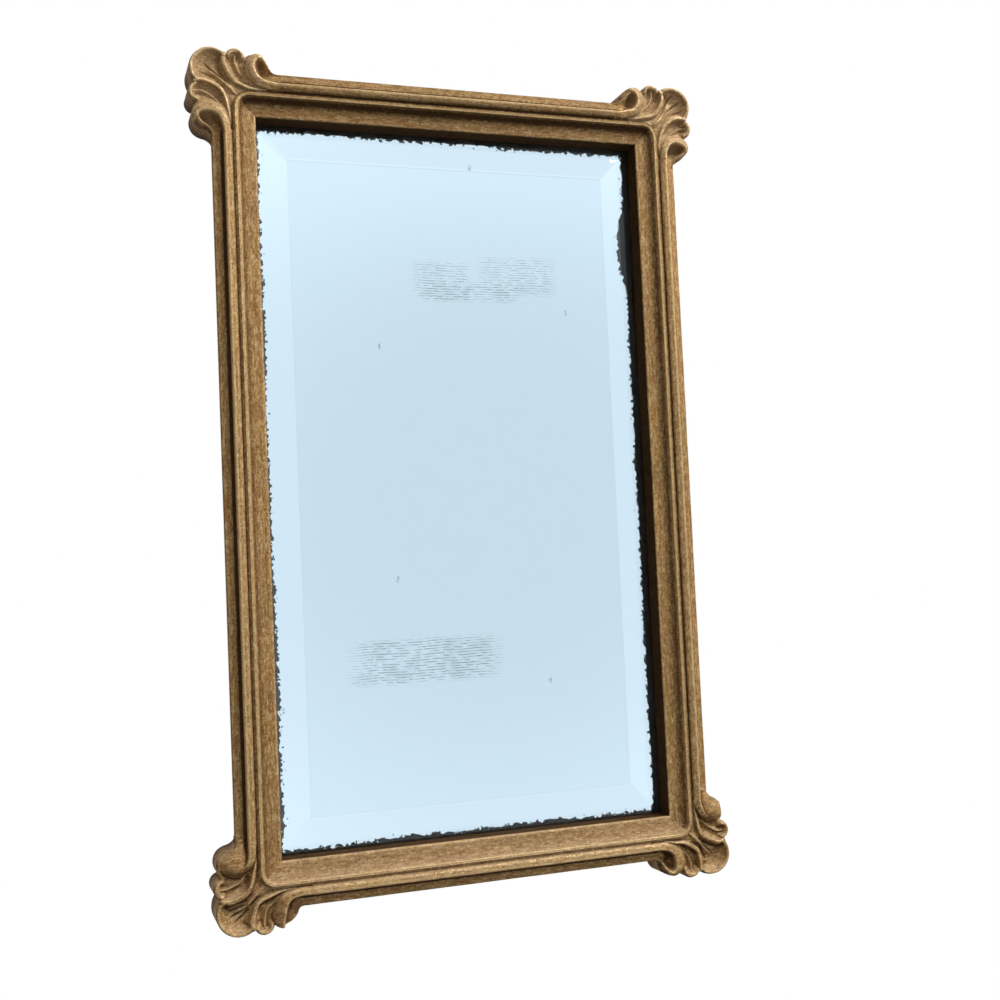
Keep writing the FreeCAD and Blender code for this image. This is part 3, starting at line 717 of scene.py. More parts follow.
@dataclass(frozen=True)
class Patch:
    """A soft-edged oblong of streaks: its middle and half sizes in millimetres, and its strength."""

    middle: Point
    half: Point
    share: float = 1.0
    edge: Band = Band(1.1, 0.7)

    def over(self, x: Value, z: Value) -> Value:
        """Return its strength: the product of a soft edge across and a soft edge up, times its share.

        Args:
            x: Place across the plate, in millimetres.
            z: Place up the plate, in millimetres.

        Returns:
            The strength.
        """
        across = (x - self.middle[0]).size() / self.half[0]
        up = (z - self.middle[1]).size() / self.half[1]
        return self.edge.of(across) * self.edge.of(up) * self.share


@dataclass(frozen=True)
class SilverFinish:
    """Old silvering behind the plate, lost in a ragged line along the edges and faintly streaked.

    Lengths are millimetres. The edge losses are measured from the plate's edges, behind the frame's lip.
    """

    silver: Colour = (225, 235, 243)
    upright_bevel_painted_light: Colour = (237, 246, 255)
    level_bevel_painted_light: Colour = (239, 247, 255)
    streak: Colour = (104, 120, 124)
    lost: Colour = (14, 12, 10)
    backing: Colour = (92, 48, 34)
    half_width: float = 165.05
    half_height: float = 285.8
    rear_face: float = 15.6
    bevel_width: float = 32.0
    left_loss: float = 10.0
    right_loss: float = 12.5
    top_loss: float = 10.4
    bottom_loss: float = 10.2
    fine_cells: float = 270.0
    fine_rag: float = 11.0
    broad_cells: float = 22.0
    broad_rag: float = 3.5
    bulge_level: float = 196.0
    bulge: Band = Band(46.0, 8.0, 7.0)
    low_creep: Band = Band(80.0, -200.0, 1.4)
    top_creep: Band = Band(20.0, 60.0, 1.4)
    loss_edge: Band = Band(0.25, -0.15)
    speck_cells: float = 150.0
    speck_rag: float = 0.3
    speck: Band = Band(0.12, 0.05)
    speck_reach: Band = Band(5.0, 1.0)
    line_gap: float = 2.1
    line: Band = Band(0.3, 1.0)
    wave_cells: float = 30.0
    wave: float = 3.0
    ripple_cells: float = 260.0
    ripple: float = 1.0
    dash_cells: Place = (130.0, 130.0, 480.0)
    dash: Band = Band(0.40, 0.54)
    patch_broad: float = 1.6
    patch_fine: float = 0.8
    patch_bare: float = 0.2
    haze_cells: float = 45.0
    haze: Band = Band(0.42, 0.62, 0.125)
    fleck_cells: float = 0.009
    fleck_squeeze: float = 0.5
    fleck: Band = Band(0.016, 0.008, 0.7)
    break_cells: float = 900.0
    fleck_break: Band = Band(0.47, 0.53)
    streak_share: float = 0.8
    bevel_mitre: Band = Band(-0.3, 0.3)
    bevel_edge: Band = Band(0.5, -0.5)
    rear: Band = Band(0.0, 0.05)
    rough: float = 0.02
    dull_rough: float = 0.6
    streak_rough: float = 0.05
    patches: tuple[Patch, ...] = (
        Patch((-11.0, 162.5), (25.0, 16.0), 0.6),
        Patch((14.0, 153.5), (42.0, 9.0), 0.6),
        Patch((54.0, 167.5), (34.0, 17.0), 0.6),
        Patch((-37.0, -140.5), (62.0, 18.0)),
    )

    def loss(self, tree: Tree, x: Value, z: Value, ragged: Value, broad: Value) -> Value:
        """Return 1 where the silver is lost: outside a line along each edge, and in specks near it.

        Two noises move the line in and out. On the right it bulges at one level, and low on the left and at
        the right end of the top it has crept further in.

        Args:
            tree: The nodes of the finish.
            x: Place across the plate.
            z: Place up the plate.
            ragged: A fine noise.
            broad: A broad noise.

        Returns:
            The loss, from 0 to 1.
        """
        near = x + (self.half_width - self.left_loss) - self.low_creep.of(z)
        others = (
            (self.half_width - self.right_loss) - x - self.bulge.of((z - self.bulge_level).size()),
            (self.half_height - self.top_loss) - z - self.top_creep.of(x),
            z + (self.half_height - self.bottom_loss),
        )
        for side in others:
            near = near.least(side)
        edge = self.loss_edge.of(near - ragged.swing(self.fine_rag) - broad.swing(self.broad_rag))
        cells = tree.cells(tree.place(), self.speck_cells)
        specks = self.speck.of(cells + ragged.swing(self.speck_rag)) * self.speck_reach.of(near)
        return (edge + specks).held()

    def streaks(self, tree: Tree, x: Value, z: Value, ragged: Value, broad: Value) -> Value:
        """Return the strength of the broken level lines in the worn patches, their haze and a few flecks.

        A line is where the sine of the wavering height is high.

        Args:
            tree: The nodes of the finish.
            x: Place across the plate.
            z: Place up the plate.
            ragged: A fine noise.
            broad: A broad noise.

        Returns:
            The strength, from 0 to 1.
        """
        place = tree.place()
        wave, ripple = (tree.noise(place, cells) for cells in (self.wave_cells, self.ripple_cells))
        angle = (z + wave.swing(self.wave) + ripple.swing(self.ripple)) * (2.0 * math.pi / self.line_gap)
        lines = tree.node("ShaderNodeMath", {"operation": "SINE"}, {0: angle})
        dashes = self.dash.of(tree.noise(tree.stretched(self.dash_cells), 1.0))
        patches = sum((patch.over(x, z) for patch in self.patches), 0.0)
        clouds = broad * self.patch_broad + ragged * self.patch_fine - self.patch_bare
        patches = (patches * clouds).held()
        haze = self.haze.of(tree.noise(place, self.haze_cells))
        flat = tree.node("ShaderNodeCombineXYZ", inputs={"X": x, "Y": z * self.fleck_squeeze})
        flecks = self.fleck.of(tree.cells(flat, self.fleck_cells, "2D"))
        broken = self.fleck_break.of(tree.noise(place, self.break_cells, detail=1.0))
        return (self.line.of(lines) * dashes * patches + patches * haze + flecks * broken).held()

    def tone(self, tree: Tree, x: Value, z: Value) -> Value:
        """Return the silver's colour, with painted light of its own behind the upright and the level bevels,
        a lighter tone for each.

        Args:
            tree: The nodes of the finish.
            x: Place across the plate.
            z: Place up the plate.

        Returns:
            The colour.
        """
        across = self.half_width - x.size()
        up = self.half_height - z.size()
        upright = self.bevel_mitre.of(up - across)
        # Painted light: a lighter silver behind the bevels, one tone for the upright and one for the level
        bevel_painted_light = tree.mix(upright, linear(self.level_bevel_painted_light), linear(self.upright_bevel_painted_light))
        inward = across.least(up) - self.bevel_width
        return tree.mix(self.bevel_edge.of(inward), linear(self.silver), bevel_painted_light)

    def material(self, name: str) -> bpy.types.Material:
        """Make the silvering, with its backing paint on the rear.

        Args:
            name: Name of the material.

        Returns:
            The material.
        """
        tree = Tree.material(name)
        x, y, z = (tree.axis(letter) / MM for letter in "xyz")
        ragged = tree.noise(tree.place(), self.fine_cells, detail=3.0, rough=0.6)
        broad = tree.noise(tree.place(), self.broad_cells, detail=1.0)
        lost = self.loss(tree, x, z, ragged, broad)
        streaks = self.streaks(tree, x, z, ragged, broad)
        rear = self.rear.of(y + self.rear_face)
        colour = self.tone(tree, x, z)
        coats = ((streaks * self.streak_share, self.streak), (lost, self.lost), (rear, self.backing))
        for share, tone in coats:
            colour = tree.mix(share, colour, linear(tone))
        dull = lost.most(rear)
        rough = self.rough + dull * self.dull_rough + streaks * self.streak_rough
        return tree.finish(Base_Color=colour, Roughness=rough, Metallic=1.0 - dull)


@dataclass(frozen=True)
class PlateFinish:
    """Clear plate glass with a faint cool tint and the faint waviness of old plate."""

    tint: Colour = (250, 254, 254)
    index: float = 1.5
    wave_cells: Place = (9.0, 9.0, 14.0)
    wave_depth: float = 0.02
    wave_strength: float = 0.4

    def material(self, name: str) -> bpy.types.Material:
        """Make the glass.

        Args:
            name: Name of the material.

        Returns:
            The material.
        """
        tree = Tree.material(name)
        waves = tree.noise(tree.stretched(self.wave_cells), 1.0, detail=1.0)
        return tree.finish(
            Base_Color=linear(self.tint),
            Roughness=0.0,
            IOR=self.index,
            Transmission_Weight=1.0,
            Normal=tree.bump(waves, self.wave_depth * MM, self.wave_strength),
        )


@dataclass(frozen=True)
class PineFinish:
    """Sawn softwood gone brown with age, its grain running across the mirror."""

    pale: Colour = (186, 142, 92)
    dark: Colour = (128, 86, 50)
    stain: Colour = (84, 58, 36)
    drawn: Place = (1.0, 6.0, 6.0)
    fibre_cells: Place = (40.0, 1500.0, 1500.0)
    saw_cells: Place = (700.0, 1.0, 12.0)
    ring_cells: float = 9.0
    ring_bend: float = 7.0
    ring_detail: float = 0.8
    ring_share: float = 0.6
    fibre_share: float = 0.7
    knot_cells: float = 3.6
    knot_bend_cells: float = 5.0
    knot_bend: float = 0.2
    knot: Band = Band(0.10, 0.05)
    knot_share: float = 0.9
    grime_cells: float = 9.0
    grime: Band = Band(0.42, 0.75, 0.6)
    rough: float = 0.68
    fibre_rough: float = 0.4
    fibre_height: float = 0.5
    saw_height: float = 0.6
    knot_depth: float = 0.3
    bump_depth: float = 0.3
    bump_strength: float = 0.6

    def material(self, name: str) -> bpy.types.Material:
        """Make the pine: growth lines drawn out along the grain, knots, dust and saw marks.

        Args:
            name: Name of the material.

        Returns:
            The material.
        """
        tree = Tree.material(name)
        drawn = tree.stretched(self.drawn)
        rings = tree.node(
            "ShaderNodeTexWave",
            {"wave_type": "BANDS", "bands_direction": "Z"},
            {
                "Vector": drawn,
                "Scale": self.ring_cells,
                "Distortion": self.ring_bend,
                "Detail Scale": self.ring_detail,
            },
            "Fac",
        )
        fibre = tree.noise(tree.stretched(self.fibre_cells), 1.0, detail=3.0)
        saw = tree.noise(tree.stretched(self.saw_cells), 1.0)
        bend = tree.noise(drawn, self.knot_bend_cells).swing(self.knot_bend)
        knot = self.knot.of(tree.cells(drawn, self.knot_cells) + bend)
        grime = self.grime.of(tree.noise(tree.place(), self.grime_cells, detail=5.0, rough=0.6))
        lines = rings * self.ring_share + fibre.swing(self.fibre_share)
        colour = tree.mix(lines, linear(self.pale), linear(self.dark))
        for share in (knot * self.knot_share, grime):
            colour = tree.mix(share, colour, linear(self.stain))
        height = fibre * self.fibre_height + saw * self.saw_height - knot * self.knot_depth
        return tree.finish(
            Base_Color=colour,
            Roughness=self.rough + fibre.swing(self.fibre_rough),
            Normal=tree.bump(height, self.bump_depth * MM, self.bump_strength),
        )


@dataclass(frozen=True)
class MetalFinish:
    """Worn metal with tarnish in patches."""

    bright: Colour
    tarnish: Colour
    share: float = 0.5
    rough: float = 0.32
    patch_cells: float = 160.0
    scratch_cells: Place = (2600.0, 700.0, 700.0)
    scratch_edge: float = 0.3
    patch_edge: Point = (0.62, 0.78)
    patch_spread: float = 0.3
    tarnish_share: float = 0.85
    tarnish_rough: float = 0.3
    tarnish_dull: float = 0.45
    scratch_rough: float = 0.2
    scratch_height: float = 0.4
    patch_height: float = 0.6
    bump_depth: float = 0.08
    bump_strength: float = 0.5

    def material(self, name: str) -> bpy.types.Material:
        """Make the metal: bright where handled, dull and rough where tarnished, finely scratched.

        Args:
            name: Name of the material.

        Returns:
            The material.
        """
        tree = Tree.material(name)
        patches = tree.noise(tree.place(), self.patch_cells, detail=5.0, rough=0.6)
        fine = tree.noise(tree.stretched(self.scratch_cells), 1.0, detail=3.0)
        spread = self.patch_spread * self.share
        low, high = (level - spread for level in self.patch_edge)
        dull = (patches + fine.swing(self.scratch_edge)).eased(low, high)
        height = fine * self.scratch_height + patches * self.patch_height
        return tree.finish(
            Base_Color=tree.mix(dull * self.tarnish_share, linear(self.bright), linear(self.tarnish)),
            Roughness=self.rough + dull * self.tarnish_rough + fine.swing(self.scratch_rough),
            Metallic=1.0 - dull * self.tarnish_dull,
            Normal=tree.bump(height, self.bump_depth * MM, self.bump_strength),
        )


# Frame

def roll_drop(share: Array, power: Array | float = ROLL_POWER) -> Array:
    """Return a roll's drop at a share of its half width: 1 - (1 - share ** power) ** (1 / power)."""
    return 1.0 - np.maximum(1.0 - np.clip(share, 0.0, 1.0) ** power, 0.0) ** (1.0 / power)


@dataclass
class Moulding:
    """The section of the frame's moulding, with out and rise measured from the sight edge.

    The toner and shade table pairs a place out with how much lower the relief counts there, which darkens it
    with toner and painted shade. Parting is the gap between two lines of points that would otherwise
    coincide.
    """

    sight_width: float = 317.5
    sight_height: float = 559.0
    sight_level: float = 36.0
    frame_depth: float = 30.0
    rebate_width: float = 7.5
    rebate_depth: float = 13.0
    nosing: float = 1.2
    nosing_end: float = 95.0
    band_fall: float = 1.0
    band_width: float = 4.0
    sweep_power: float = 3.2
    bead_start: float = 14.2
    bead_crest: float = 14.9
    bead_rise: float = 5.8
    bead_end: float = 16.9
    bead_foot: float = 5.1
    arris: float = 0.9
    quirk_middle: float = 18.3
    quirk_rise: float = 4.7
    ridge_crest: float = 24.1
    ridge_inside: float = 5.0
    ridge_outside: float = 1.5
    ridge_drop: float = 3.0
    ridge_power: float = 1.75
    ridge_rise: float = 8.0
    cove_start: float = 25.6
    cove_rise: float = 3.2
    shoulder: float = 0.8
    face: float = 34.0
    edge_round: float = 0.8
    back_edge: float = 30.6
    corner_round: float = 5.0
    carving_reach: float = 21.0
    seat: float = -8.0
    parting: float = 0.02
    nosing_points: int = 7
    sweep_points: int = 30
    rising_points: int = 16
    falling_points: int = 10
    cove_points: int = 14
    edge_points: int = 6
    side_points: int = 7
    reveal_points: int = 6
    relief_points: int = 681
    relief_window: int = 101
    relief_full: float = 0.7
    toner_and_shade: tuple[Point, ...] = (
        (7.0, 0.0), (12.5, 0.2), (14.0, 0.3), (14.4, 0.0), (17.0, 0.0), (18.3, -0.5),
        (19.6, 0.0), (24.9, 0.0), (25.6, 0.4), (31.5, -0.2), (33.0, 0.0), (34.0, 0.6),
    )
    unevenness: float = 0.13
    uneven_length: float = 45.0
    uneven_seed: int = 11

    @property
    def back(self) -> float:
        """Rise of the frame's back."""
        return -self.frame_depth

    @property
    def taper(self) -> float:
        """How far the outer side goes out for each millimetre of rise."""
        return (self.face - self.back_edge) / (self.frame_depth + self.shoulder)

    def inner_line(self) -> Array:
        """Return out and rise from the sight edge to the middle of the quirk.

        A quarter-round nosing, then a band that falls toward the glass and sweeps up past its width, as rise
        = -fall * (1 - out / bead_start) + height * share ** power, then a bead with a sharp inner arris that
        slopes off to the quirk's floor.

        Returns:
            One row for each point.
        """
        turn = (self.nosing, -self.band_fall - self.nosing)
        nosing = arc(turn, self.nosing, 180.0, self.nosing_end, self.nosing_points)
        out = np.linspace(self.nosing, self.bead_start, self.sweep_points)
        slope = -self.band_fall * np.clip(1.0 - out / self.bead_start, 0.0, 1.0)
        share = np.clip((out - self.band_width) / (self.bead_start - self.band_width), 0.0, 1.0)
        sweep = slope + (self.bead_rise - self.arris) * share**self.sweep_power
        bead = np.array([
            [self.bead_start + 0.15, self.bead_rise - 0.45],
            [self.bead_start + 0.45, self.bead_rise - 0.1],
            [self.bead_crest, self.bead_rise],
            [self.bead_crest + 0.8, self.bead_rise - 0.3],
            [self.bead_end - 0.6, self.bead_foot + 0.7],
            [self.bead_end, self.bead_foot],
            [self.bead_end + 0.3, self.quirk_rise + 0.3],
            [self.quirk_middle, self.quirk_rise],
        ])
        return np.vstack([nosing, np.column_stack([out, sweep]), bead])

    def outer_line(self) -> Array:
        """Return out and rise from the middle of the quirk to the outer edge.

        The rest of the quirk's floor, the rolled ridge, the cove that falls to the shoulder, and a rounded
        edge.

        Returns:
            One row for each point.
        """
        near = self.ridge_crest - self.ridge_inside
        floor = np.array([
            [self.quirk_middle + self.parting, self.quirk_rise],
            [near - 0.4, self.quirk_rise],
            [near - 0.1, self.quirk_rise + 0.4],
        ])
        upright = math.pi / 2.0
        inside = np.linspace(0.02, upright, self.rising_points)
        outside = np.linspace(0.15, upright - 0.02, self.falling_points)
        rising = self.ridge_crest - self.ridge_inside * np.cos(inside)
        falling = self.ridge_crest + self.ridge_outside * np.sin(outside)
        out = np.concatenate([rising, falling])
        half = np.where(out < self.ridge_crest, self.ridge_inside, self.ridge_outside)
        power = np.where(out < self.ridge_crest, self.ridge_power, ROLL_POWER)
        drop = roll_drop(np.abs(out - self.ridge_crest) / half, power)
        ridge = np.column_stack([out, self.ridge_rise - self.ridge_drop * drop])
        fall = np.linspace(self.cove_start + 0.1, self.face - self.edge_round, self.cove_points)
        turn = (self.face - self.edge_round, self.shoulder - self.edge_round)
        edge = arc(turn, self.edge_round, 90.0, 10.0, self.edge_points)[1:]
        return np.vstack([floor, ridge, np.column_stack([fall, self.cove(fall)]), edge])

    def cove(self, out: Array) -> Array:
        """Return the rise of the outer cove: shoulder + fall * (1 - share) squared."""
        share = np.clip((out - self.cove_start) / (self.face - self.cove_start), 0.0, 1.0)
        return self.shoulder + (self.cove_rise - self.shoulder) * (1.0 - share) ** 2

    def relief(self, out: Array) -> Array:
        """Return how far each place of the front stands above its surroundings, from -1 to 1.

        It is the rise less its mean over 5 mm, lowered for gathered toner and painted shade, and raised where
        the toner is thin.

        Args:
            out: Places out from the sight edge.

        Returns:
            The relief at each place.
        """
        front = np.vstack([self.inner_line(), self.outer_line()])
        fine_out = np.linspace(0.0, self.face, self.relief_points)
        fine = np.interp(fine_out, front[:, 0], front[:, 1])
        swell = (fine - running_mean(fine, self.relief_window, 0)) / self.relief_full
        toner_and_shade_drop = np.interp(fine_out, *zip(*self.toner_and_shade))
        return np.interp(out, fine_out, np.clip(swell - toner_and_shade_drop, -1.0, 1.0))

    def rear_line(self) -> Array:
        """Return out and rise from the outer edge down the side, over the back and round the rebate.

        Returns:
            One row for each point: those of the side, three of the back and rebate, and those of the reveal.
        """
        down = np.linspace(0.0, 1.0, self.side_points)[:, None]
        top = np.array([self.face, self.shoulder - self.edge_round - 0.2])
        low = np.array([self.back_edge + 0.08, self.back + 0.6])
        rebate = self.rebate_depth - self.frame_depth
        flat = np.array([
            [self.back_edge - 0.4, self.back],
            [self.rebate_width, self.back],
            [self.rebate_width, rebate],
        ])
        reveal = np.linspace(rebate, -self.band_fall - self.nosing - 0.15, self.reveal_points)
        return np.vstack([blend(top, low, down), flat, np.column_stack([np.zeros_like(reveal), reveal])])

    def uneven(self, height: Array, x: Array, z: Array, front: Array) -> Array:
        """Return heights with the slow unevenness of the hand on the front, no higher than the ridge.

        Args:
            height: Rises.
            x: Places across the mirror.
            z: Places up the mirror.
            front: 1 or true on the front.

        Returns:
            The new rises.
        """
        wave = self.unevenness * waver(x, z, self.uneven_seed, self.uneven_length)
        return np.minimum(height + wave * front, self.ridge_rise)


@dataclass
class Rails:
    """The four mitred rails, each a closed section carried from mitre to mitre.

    Between the corner carvings the whole section runs straight. Beside a carving only the part inside the
    quirk keeps its front, and its lines turn the corner on an arc about a point just outside the sight
    corner, while the rest drops to the seat that the carving lies on.
    """

    moulding: Moulding
    step: float = 2.6
    corner_steps: int = 30
    mitre_gap: float = 0.15
    mitre_lead: float = 0.25
    ledge_dust_and_light: float = 0.45
    rear_relief: float = -0.35
    reveal_painted_shade: float = -1.0
    side_relief: Point = (0.1, -0.6)

    def section(self) -> tuple[Array, Array, Array, Array, dict[str, Array]]:
        """Work out the closed section.

        Returns:
            Its out, its rise, its rise beside a carving, whether each line turns the corner, and its marks.
        """
        m = self.moulding
        inner, outer, rear = m.inner_line(), m.outer_line(), m.rear_line()
        out, rise = np.vstack([inner, outer, rear]).T
        face = slice(len(inner), len(inner) + len(outer))
        side = slice(face.stop, face.stop + m.side_points)
        seat = rise.copy()
        seat[face] = m.seat
        seat[side] = np.minimum(seat[side], m.seat)
        turns = np.arange(len(out)) <= len(inner)
        relief = m.relief(out)
        relief[face.stop:] = self.rear_relief
        # Painted shade down the reveal between the sight edge and the glass
        relief[-m.reveal_points:] = self.reveal_painted_shade
        relief[side] = np.linspace(*self.side_relief, m.side_points)
        bare = np.zeros(len(out))
        bare[side.stop:-m.reveal_points] = 1.0
        return out, rise, seat, turns, {"relief": relief, "bare": bare}

    def turned(self, out: Array, turns: Array, share: Array) -> tuple[Array, Array]:
        """Carry every line of the section from the carving's end to the mitre.

        A straight line goes to along = out. A turning line goes straight to the arc's start and then round
        the arc to the mitre, at an even pace.

        Args:
            out: The section's out.
            turns: Whether each line turns.
            share: Shares of the way, one for each row of points.

        Returns:
            Along and out of the points, by row and line.
        """
        m = self.moulding
        turn = np.where(turns, np.maximum(out - m.corner_round, 0.0), 0.0)[None, :]
        straight = m.carving_reach + np.where(turns, np.minimum(out, m.corner_round), out)[None, :]
        way = share[:, None] * (straight + turn * math.pi / 4.0)
        angle = np.divide(way - straight, turn, out=np.zeros_like(way), where=(turn > 0.0) & (way > straight))
        along = -m.carving_reach + np.minimum(way, straight) + turn * np.sin(angle)
        return along, np.broadcast_to(out[None, :], way.shape) - turn * (1.0 - np.cos(angle))

    def placed(self, side: Side, along: Array, out: Array) -> tuple[Array, Array]:
        """Put places along a rail and out from its sight edge on the mirror, by quarter turns from the top.

        Args:
            side: Which side of the frame it is.
            along: Places along the rail from its middle.
            out: Places out from the sight edge.

        Returns:
            Their x and z.
        """
        m = self.moulding
        reach = (m.sight_width if side.upright else m.sight_height) / 2.0 + out
        return {0: (along, reach), 1: (reach, -along), 2: (-along, -reach), 3: (-reach, along)}[side.turns]

    def facing(self, side: Side, place: tuple[Array, Array, Array], out: Array, front: Array) -> Array:
        """Find how far each line of the front faces up, at the rail's middle.

        The top rail counts as facing down all over, which paints shade on it. The bottom rail's inner part
        counts as facing up, which gives it dust and painted light.

        Args:
            side: Which side of the frame it is.
            place: Its points' x, y and z, by row and line.
            out: The section's out.
            front: True for the lines of the front.

        Returns:
            The upward part of each line's unit normal.
        """
        middle = len(place[0]) // 2
        facing = upward(*(part[middle - 1:middle + 2] for part in place))[1] * front
        # Painted shade: the top rail's whole front counts as facing down
        if side is Side.TOP:
            facing = np.minimum(facing, TOP_PAINTED_SHADE * front)
        # Dust and painted light from above on the bottom rail's inner part
        if side is Side.BOTTOM:
            facing = np.maximum(facing, self.ledge_dust_and_light * front * (out < self.moulding.ridge_crest))
        return facing

    def build(self, side: Side, finish: bpy.types.Material) -> bpy.types.Object:
        """Build one rail.

        Args:
            side: Which side of the frame it is.
            finish: Its gilt.

        Returns:
            The rail, standing for its CAD node.
        """
        m = self.moulding
        half = (m.sight_height if side.upright else m.sight_width) / 2.0
        out, rise, seat, turns, marks = self.section()
        lead = 1.0 - self.mitre_lead / m.carving_reach
        share = np.sort(np.append(np.linspace(0.0, 1.0, self.corner_steps), lead))
        corner_along, corner_out = self.turned(out, turns, share)
        corner_rise = np.broadcast_to(seat, corner_along.shape).copy()
        corner_rise[-1, turns] -= self.mitre_gap
        run = half - m.carving_reach - m.parting
        steps = int(2.0 * run / self.step)
        middle_along = np.linspace(-run, run, steps)[:, None] + np.zeros_like(out)[None, :]
        along = np.vstack([-(half + corner_along[::-1]), middle_along, half + corner_along])
        across = np.vstack([corner_out[::-1], np.broadcast_to(out, middle_along.shape), corner_out])
        height = np.vstack([corner_rise[::-1], np.broadcast_to(rise, middle_along.shape), corner_rise])
        x, z = self.placed(side, along, across)
        front = np.arange(len(out)) < len(m.inner_line()) + len(m.outer_line())
        y = -(m.sight_level + m.uneven(height, x, z, front))
        marks["upward"] = self.facing(side, (x, y, z), out, front)
        marks = {name: np.broadcast_to(values, x.shape) for name, values in marks.items()}
        rail = make_piece(f"gilt_{side.node}", x, y, z, marks, flip=True)
        stand_for(rail, finish, side.node)
        return rail


@dataclass(frozen=True)
class Knot:
    """A point of a carved ridge: its place, its crest's height, its roll and the width of its flank."""

    along: float
    out: float
    crest: float
    roll: float
    flank: float


def smooth_line(rows: Array, fineness: int) -> Array:
    """Return rows on a smooth curve through given rows.

    Between two rows each value follows a cubic whose slope at a row is half the step between its neighbours.

    Args:
        rows: The rows to go through.
        fineness: How many steps to take between two of them.

    Returns:
        The rows of the curve.
    """
    slopes = np.gradient(rows, axis=0)
    t = np.linspace(0.0, 1.0, fineness, endpoint=False)[None, :, None]
    first, last = rows[:-1, None, :], rows[1:, None, :]
    first_slope, last_slope = slopes[:-1, None, :], slopes[1:, None, :]
    curve = (
        (2 * t**3 - 3 * t**2 + 1) * first + (t**3 - 2 * t**2 + t) * first_slope
        + (3 * t**2 - 2 * t**3) * last + (t**3 - t**2) * last_slope
    )
    return np.vstack([curve.reshape(-1, rows.shape[1]), rows[-1:]])


def nearest_on(line: Array, along: Array, out: Array) -> tuple[Array, Array]:
    """Find the nearest point of a line for each place.

    Args:
        line: Points of the line.
        along: Places along.
        out: Places out.

    Returns:
        The nearest point's number and its distance.
    """
    gap = (along[:, None] - line[None, :, 0]) ** 2 + (out[:, None] - line[None, :, 1]) ** 2
    nearest = gap.argmin(1)
    return nearest, np.sqrt(gap[np.arange(len(along)), nearest])


@dataclass(frozen=True)
class Ridge:
    """A carved ridge through knots, given on the rail's side of the mitre."""

    knots: tuple[Knot, ...]
    lean: float = 0.0
    power: float = ROLL_POWER
    fineness: int = 12
    finest: float = 0.1

    def lift(self, along: Array, out: Array, ground: Array) -> Array:
        """Return how far the ridge stands above the ground at each place.

        Within the roll of its line it is rounded, as crest - roll * drop. Beyond that it falls to the ground
        over the flank, as (1 - share) squared, which leaves a gouged hollow beside it. A ridge that leans has
        a narrower roll on the left of its way and a wider one, with the given power, on the right.

        Args:
            along: The smaller of each place's distances out from the two sight edges.
            out: The larger.
            ground: Level of the ground.

        Returns:
            The lift at each place.
        """
        line = smooth_line(np.array([astuple(knot) for knot in self.knots]), self.fineness)
        nearest, distance = nearest_on(line, along, out)
        crest = line[nearest, 2]
        roll, flank = (np.maximum(line[nearest, column], self.finest) for column in (3, 4))
        way = np.gradient(line[:, :2], axis=0)[nearest]
        aside = way[:, 0] * (out - line[nearest, 1]) - way[:, 1] * (along - line[nearest, 0])
        length = np.linalg.norm(way, axis=1) * np.maximum(distance, 1e-6)
        half = roll * (1.0 - self.lean * np.clip(aside / length, -1.0, 1.0))
        power = np.where(half > roll, self.power, ROLL_POWER)
        top = crest - roll * roll_drop(distance / half, power) - ground
        share = np.clip((distance - half) / flank, 0.0, 1.0)
        skirt = (crest - roll - ground) * (1.0 - share) ** 2
        return np.maximum(np.where(distance < half, top, skirt), 0.0)


@dataclass(frozen=True)
class Gouge:
    """A cut of the carver's gouge along a smooth line, given outward along and up from one sight corner."""

    points: tuple[Point, ...]
    depth: float
    width: float
    fineness: int = 12
    run_out: float = 0.6
    vee: float = 1.2

    def cut(self, along: Array, out: Array) -> Array:
        """Return how deep the cut is: depth * sin(pi * way) ** run_out * (1 - distance / width) ** vee.

        That is a V across the line that runs out at both of its ends.

        Args:
            along: Places along, outward from the sight corner.
            out: Places out from the sight edge.

        Returns:
            The depth at each place.
        """
        line = smooth_line(np.array(self.points), self.fineness)
        nearest, distance = nearest_on(line, along, out)
        way = nearest / (len(line) - 1.0)
        ends = np.sin(math.pi * way) ** self.run_out
        return self.depth * ends * np.clip(1.0 - distance / self.width, 0.0, 1.0) ** self.vee


def arm_from_rail(*knots: Knot) -> Ridge:
    """Make an arm that leaves the rail's own ridge.

    Args:
        knots: The knots that it goes on through.

    Returns:
        The arm's ridge.
    """
    m = Moulding()
    start = tuple(Knot(along, m.ridge_crest, m.ridge_rise, m.ridge_drop, 0.25) for along in (-26.0, -16.0))
    return Ridge(start + knots, lean=0.5, power=m.ridge_power)


def scroll_arm() -> Ridge:
    """The rail's ridge, which broadens, bends outward beside the petal and ends in a rounded lip."""
    return arm_from_rail(
        Knot(-10.5, 24.4, 8.0, 3.0, 0.9),
        Knot(-5.6, 25.6, 8.0, 3.2, 3.0),
        Knot(-1.6, 28.2, 8.0, 3.5, 5.0),
        Knot(0.9, 32.0, 8.0, 3.8, 6.0),
        Knot(1.8, 36.4, 7.9, 3.9, 6.4),
        Knot(1.0, 40.6, 7.6, 3.6, 6.0),
        Knot(-1.2, 43.4, 7.0, 2.8, 5.0),
        Knot(-4.2, 44.2, 6.0, 1.6, 5.0),
    )


def scoop_rim() -> Ridge:
    """The thin rim that runs from the scroll's lip round the scoop and dies away along the shoulder."""
    return Ridge((
        Knot(-3.0, 44.5, 6.0, 1.7, 5.0),
        Knot(-6.0, 43.0, 5.2, 0.9, 5.5),
        Knot(-8.4, 40.2, 4.2, 0.6, 5.0),
        Knot(-10.3, 36.8, 3.2, 0.5, 4.4),
        Knot(-13.0, 34.2, 2.2, 0.5, 3.4),
        Knot(-16.5, 33.2, 1.4, 0.5, 1.8),
        Knot(-22.0, 33.2, 0.8, 0.4, 0.5),
    ))


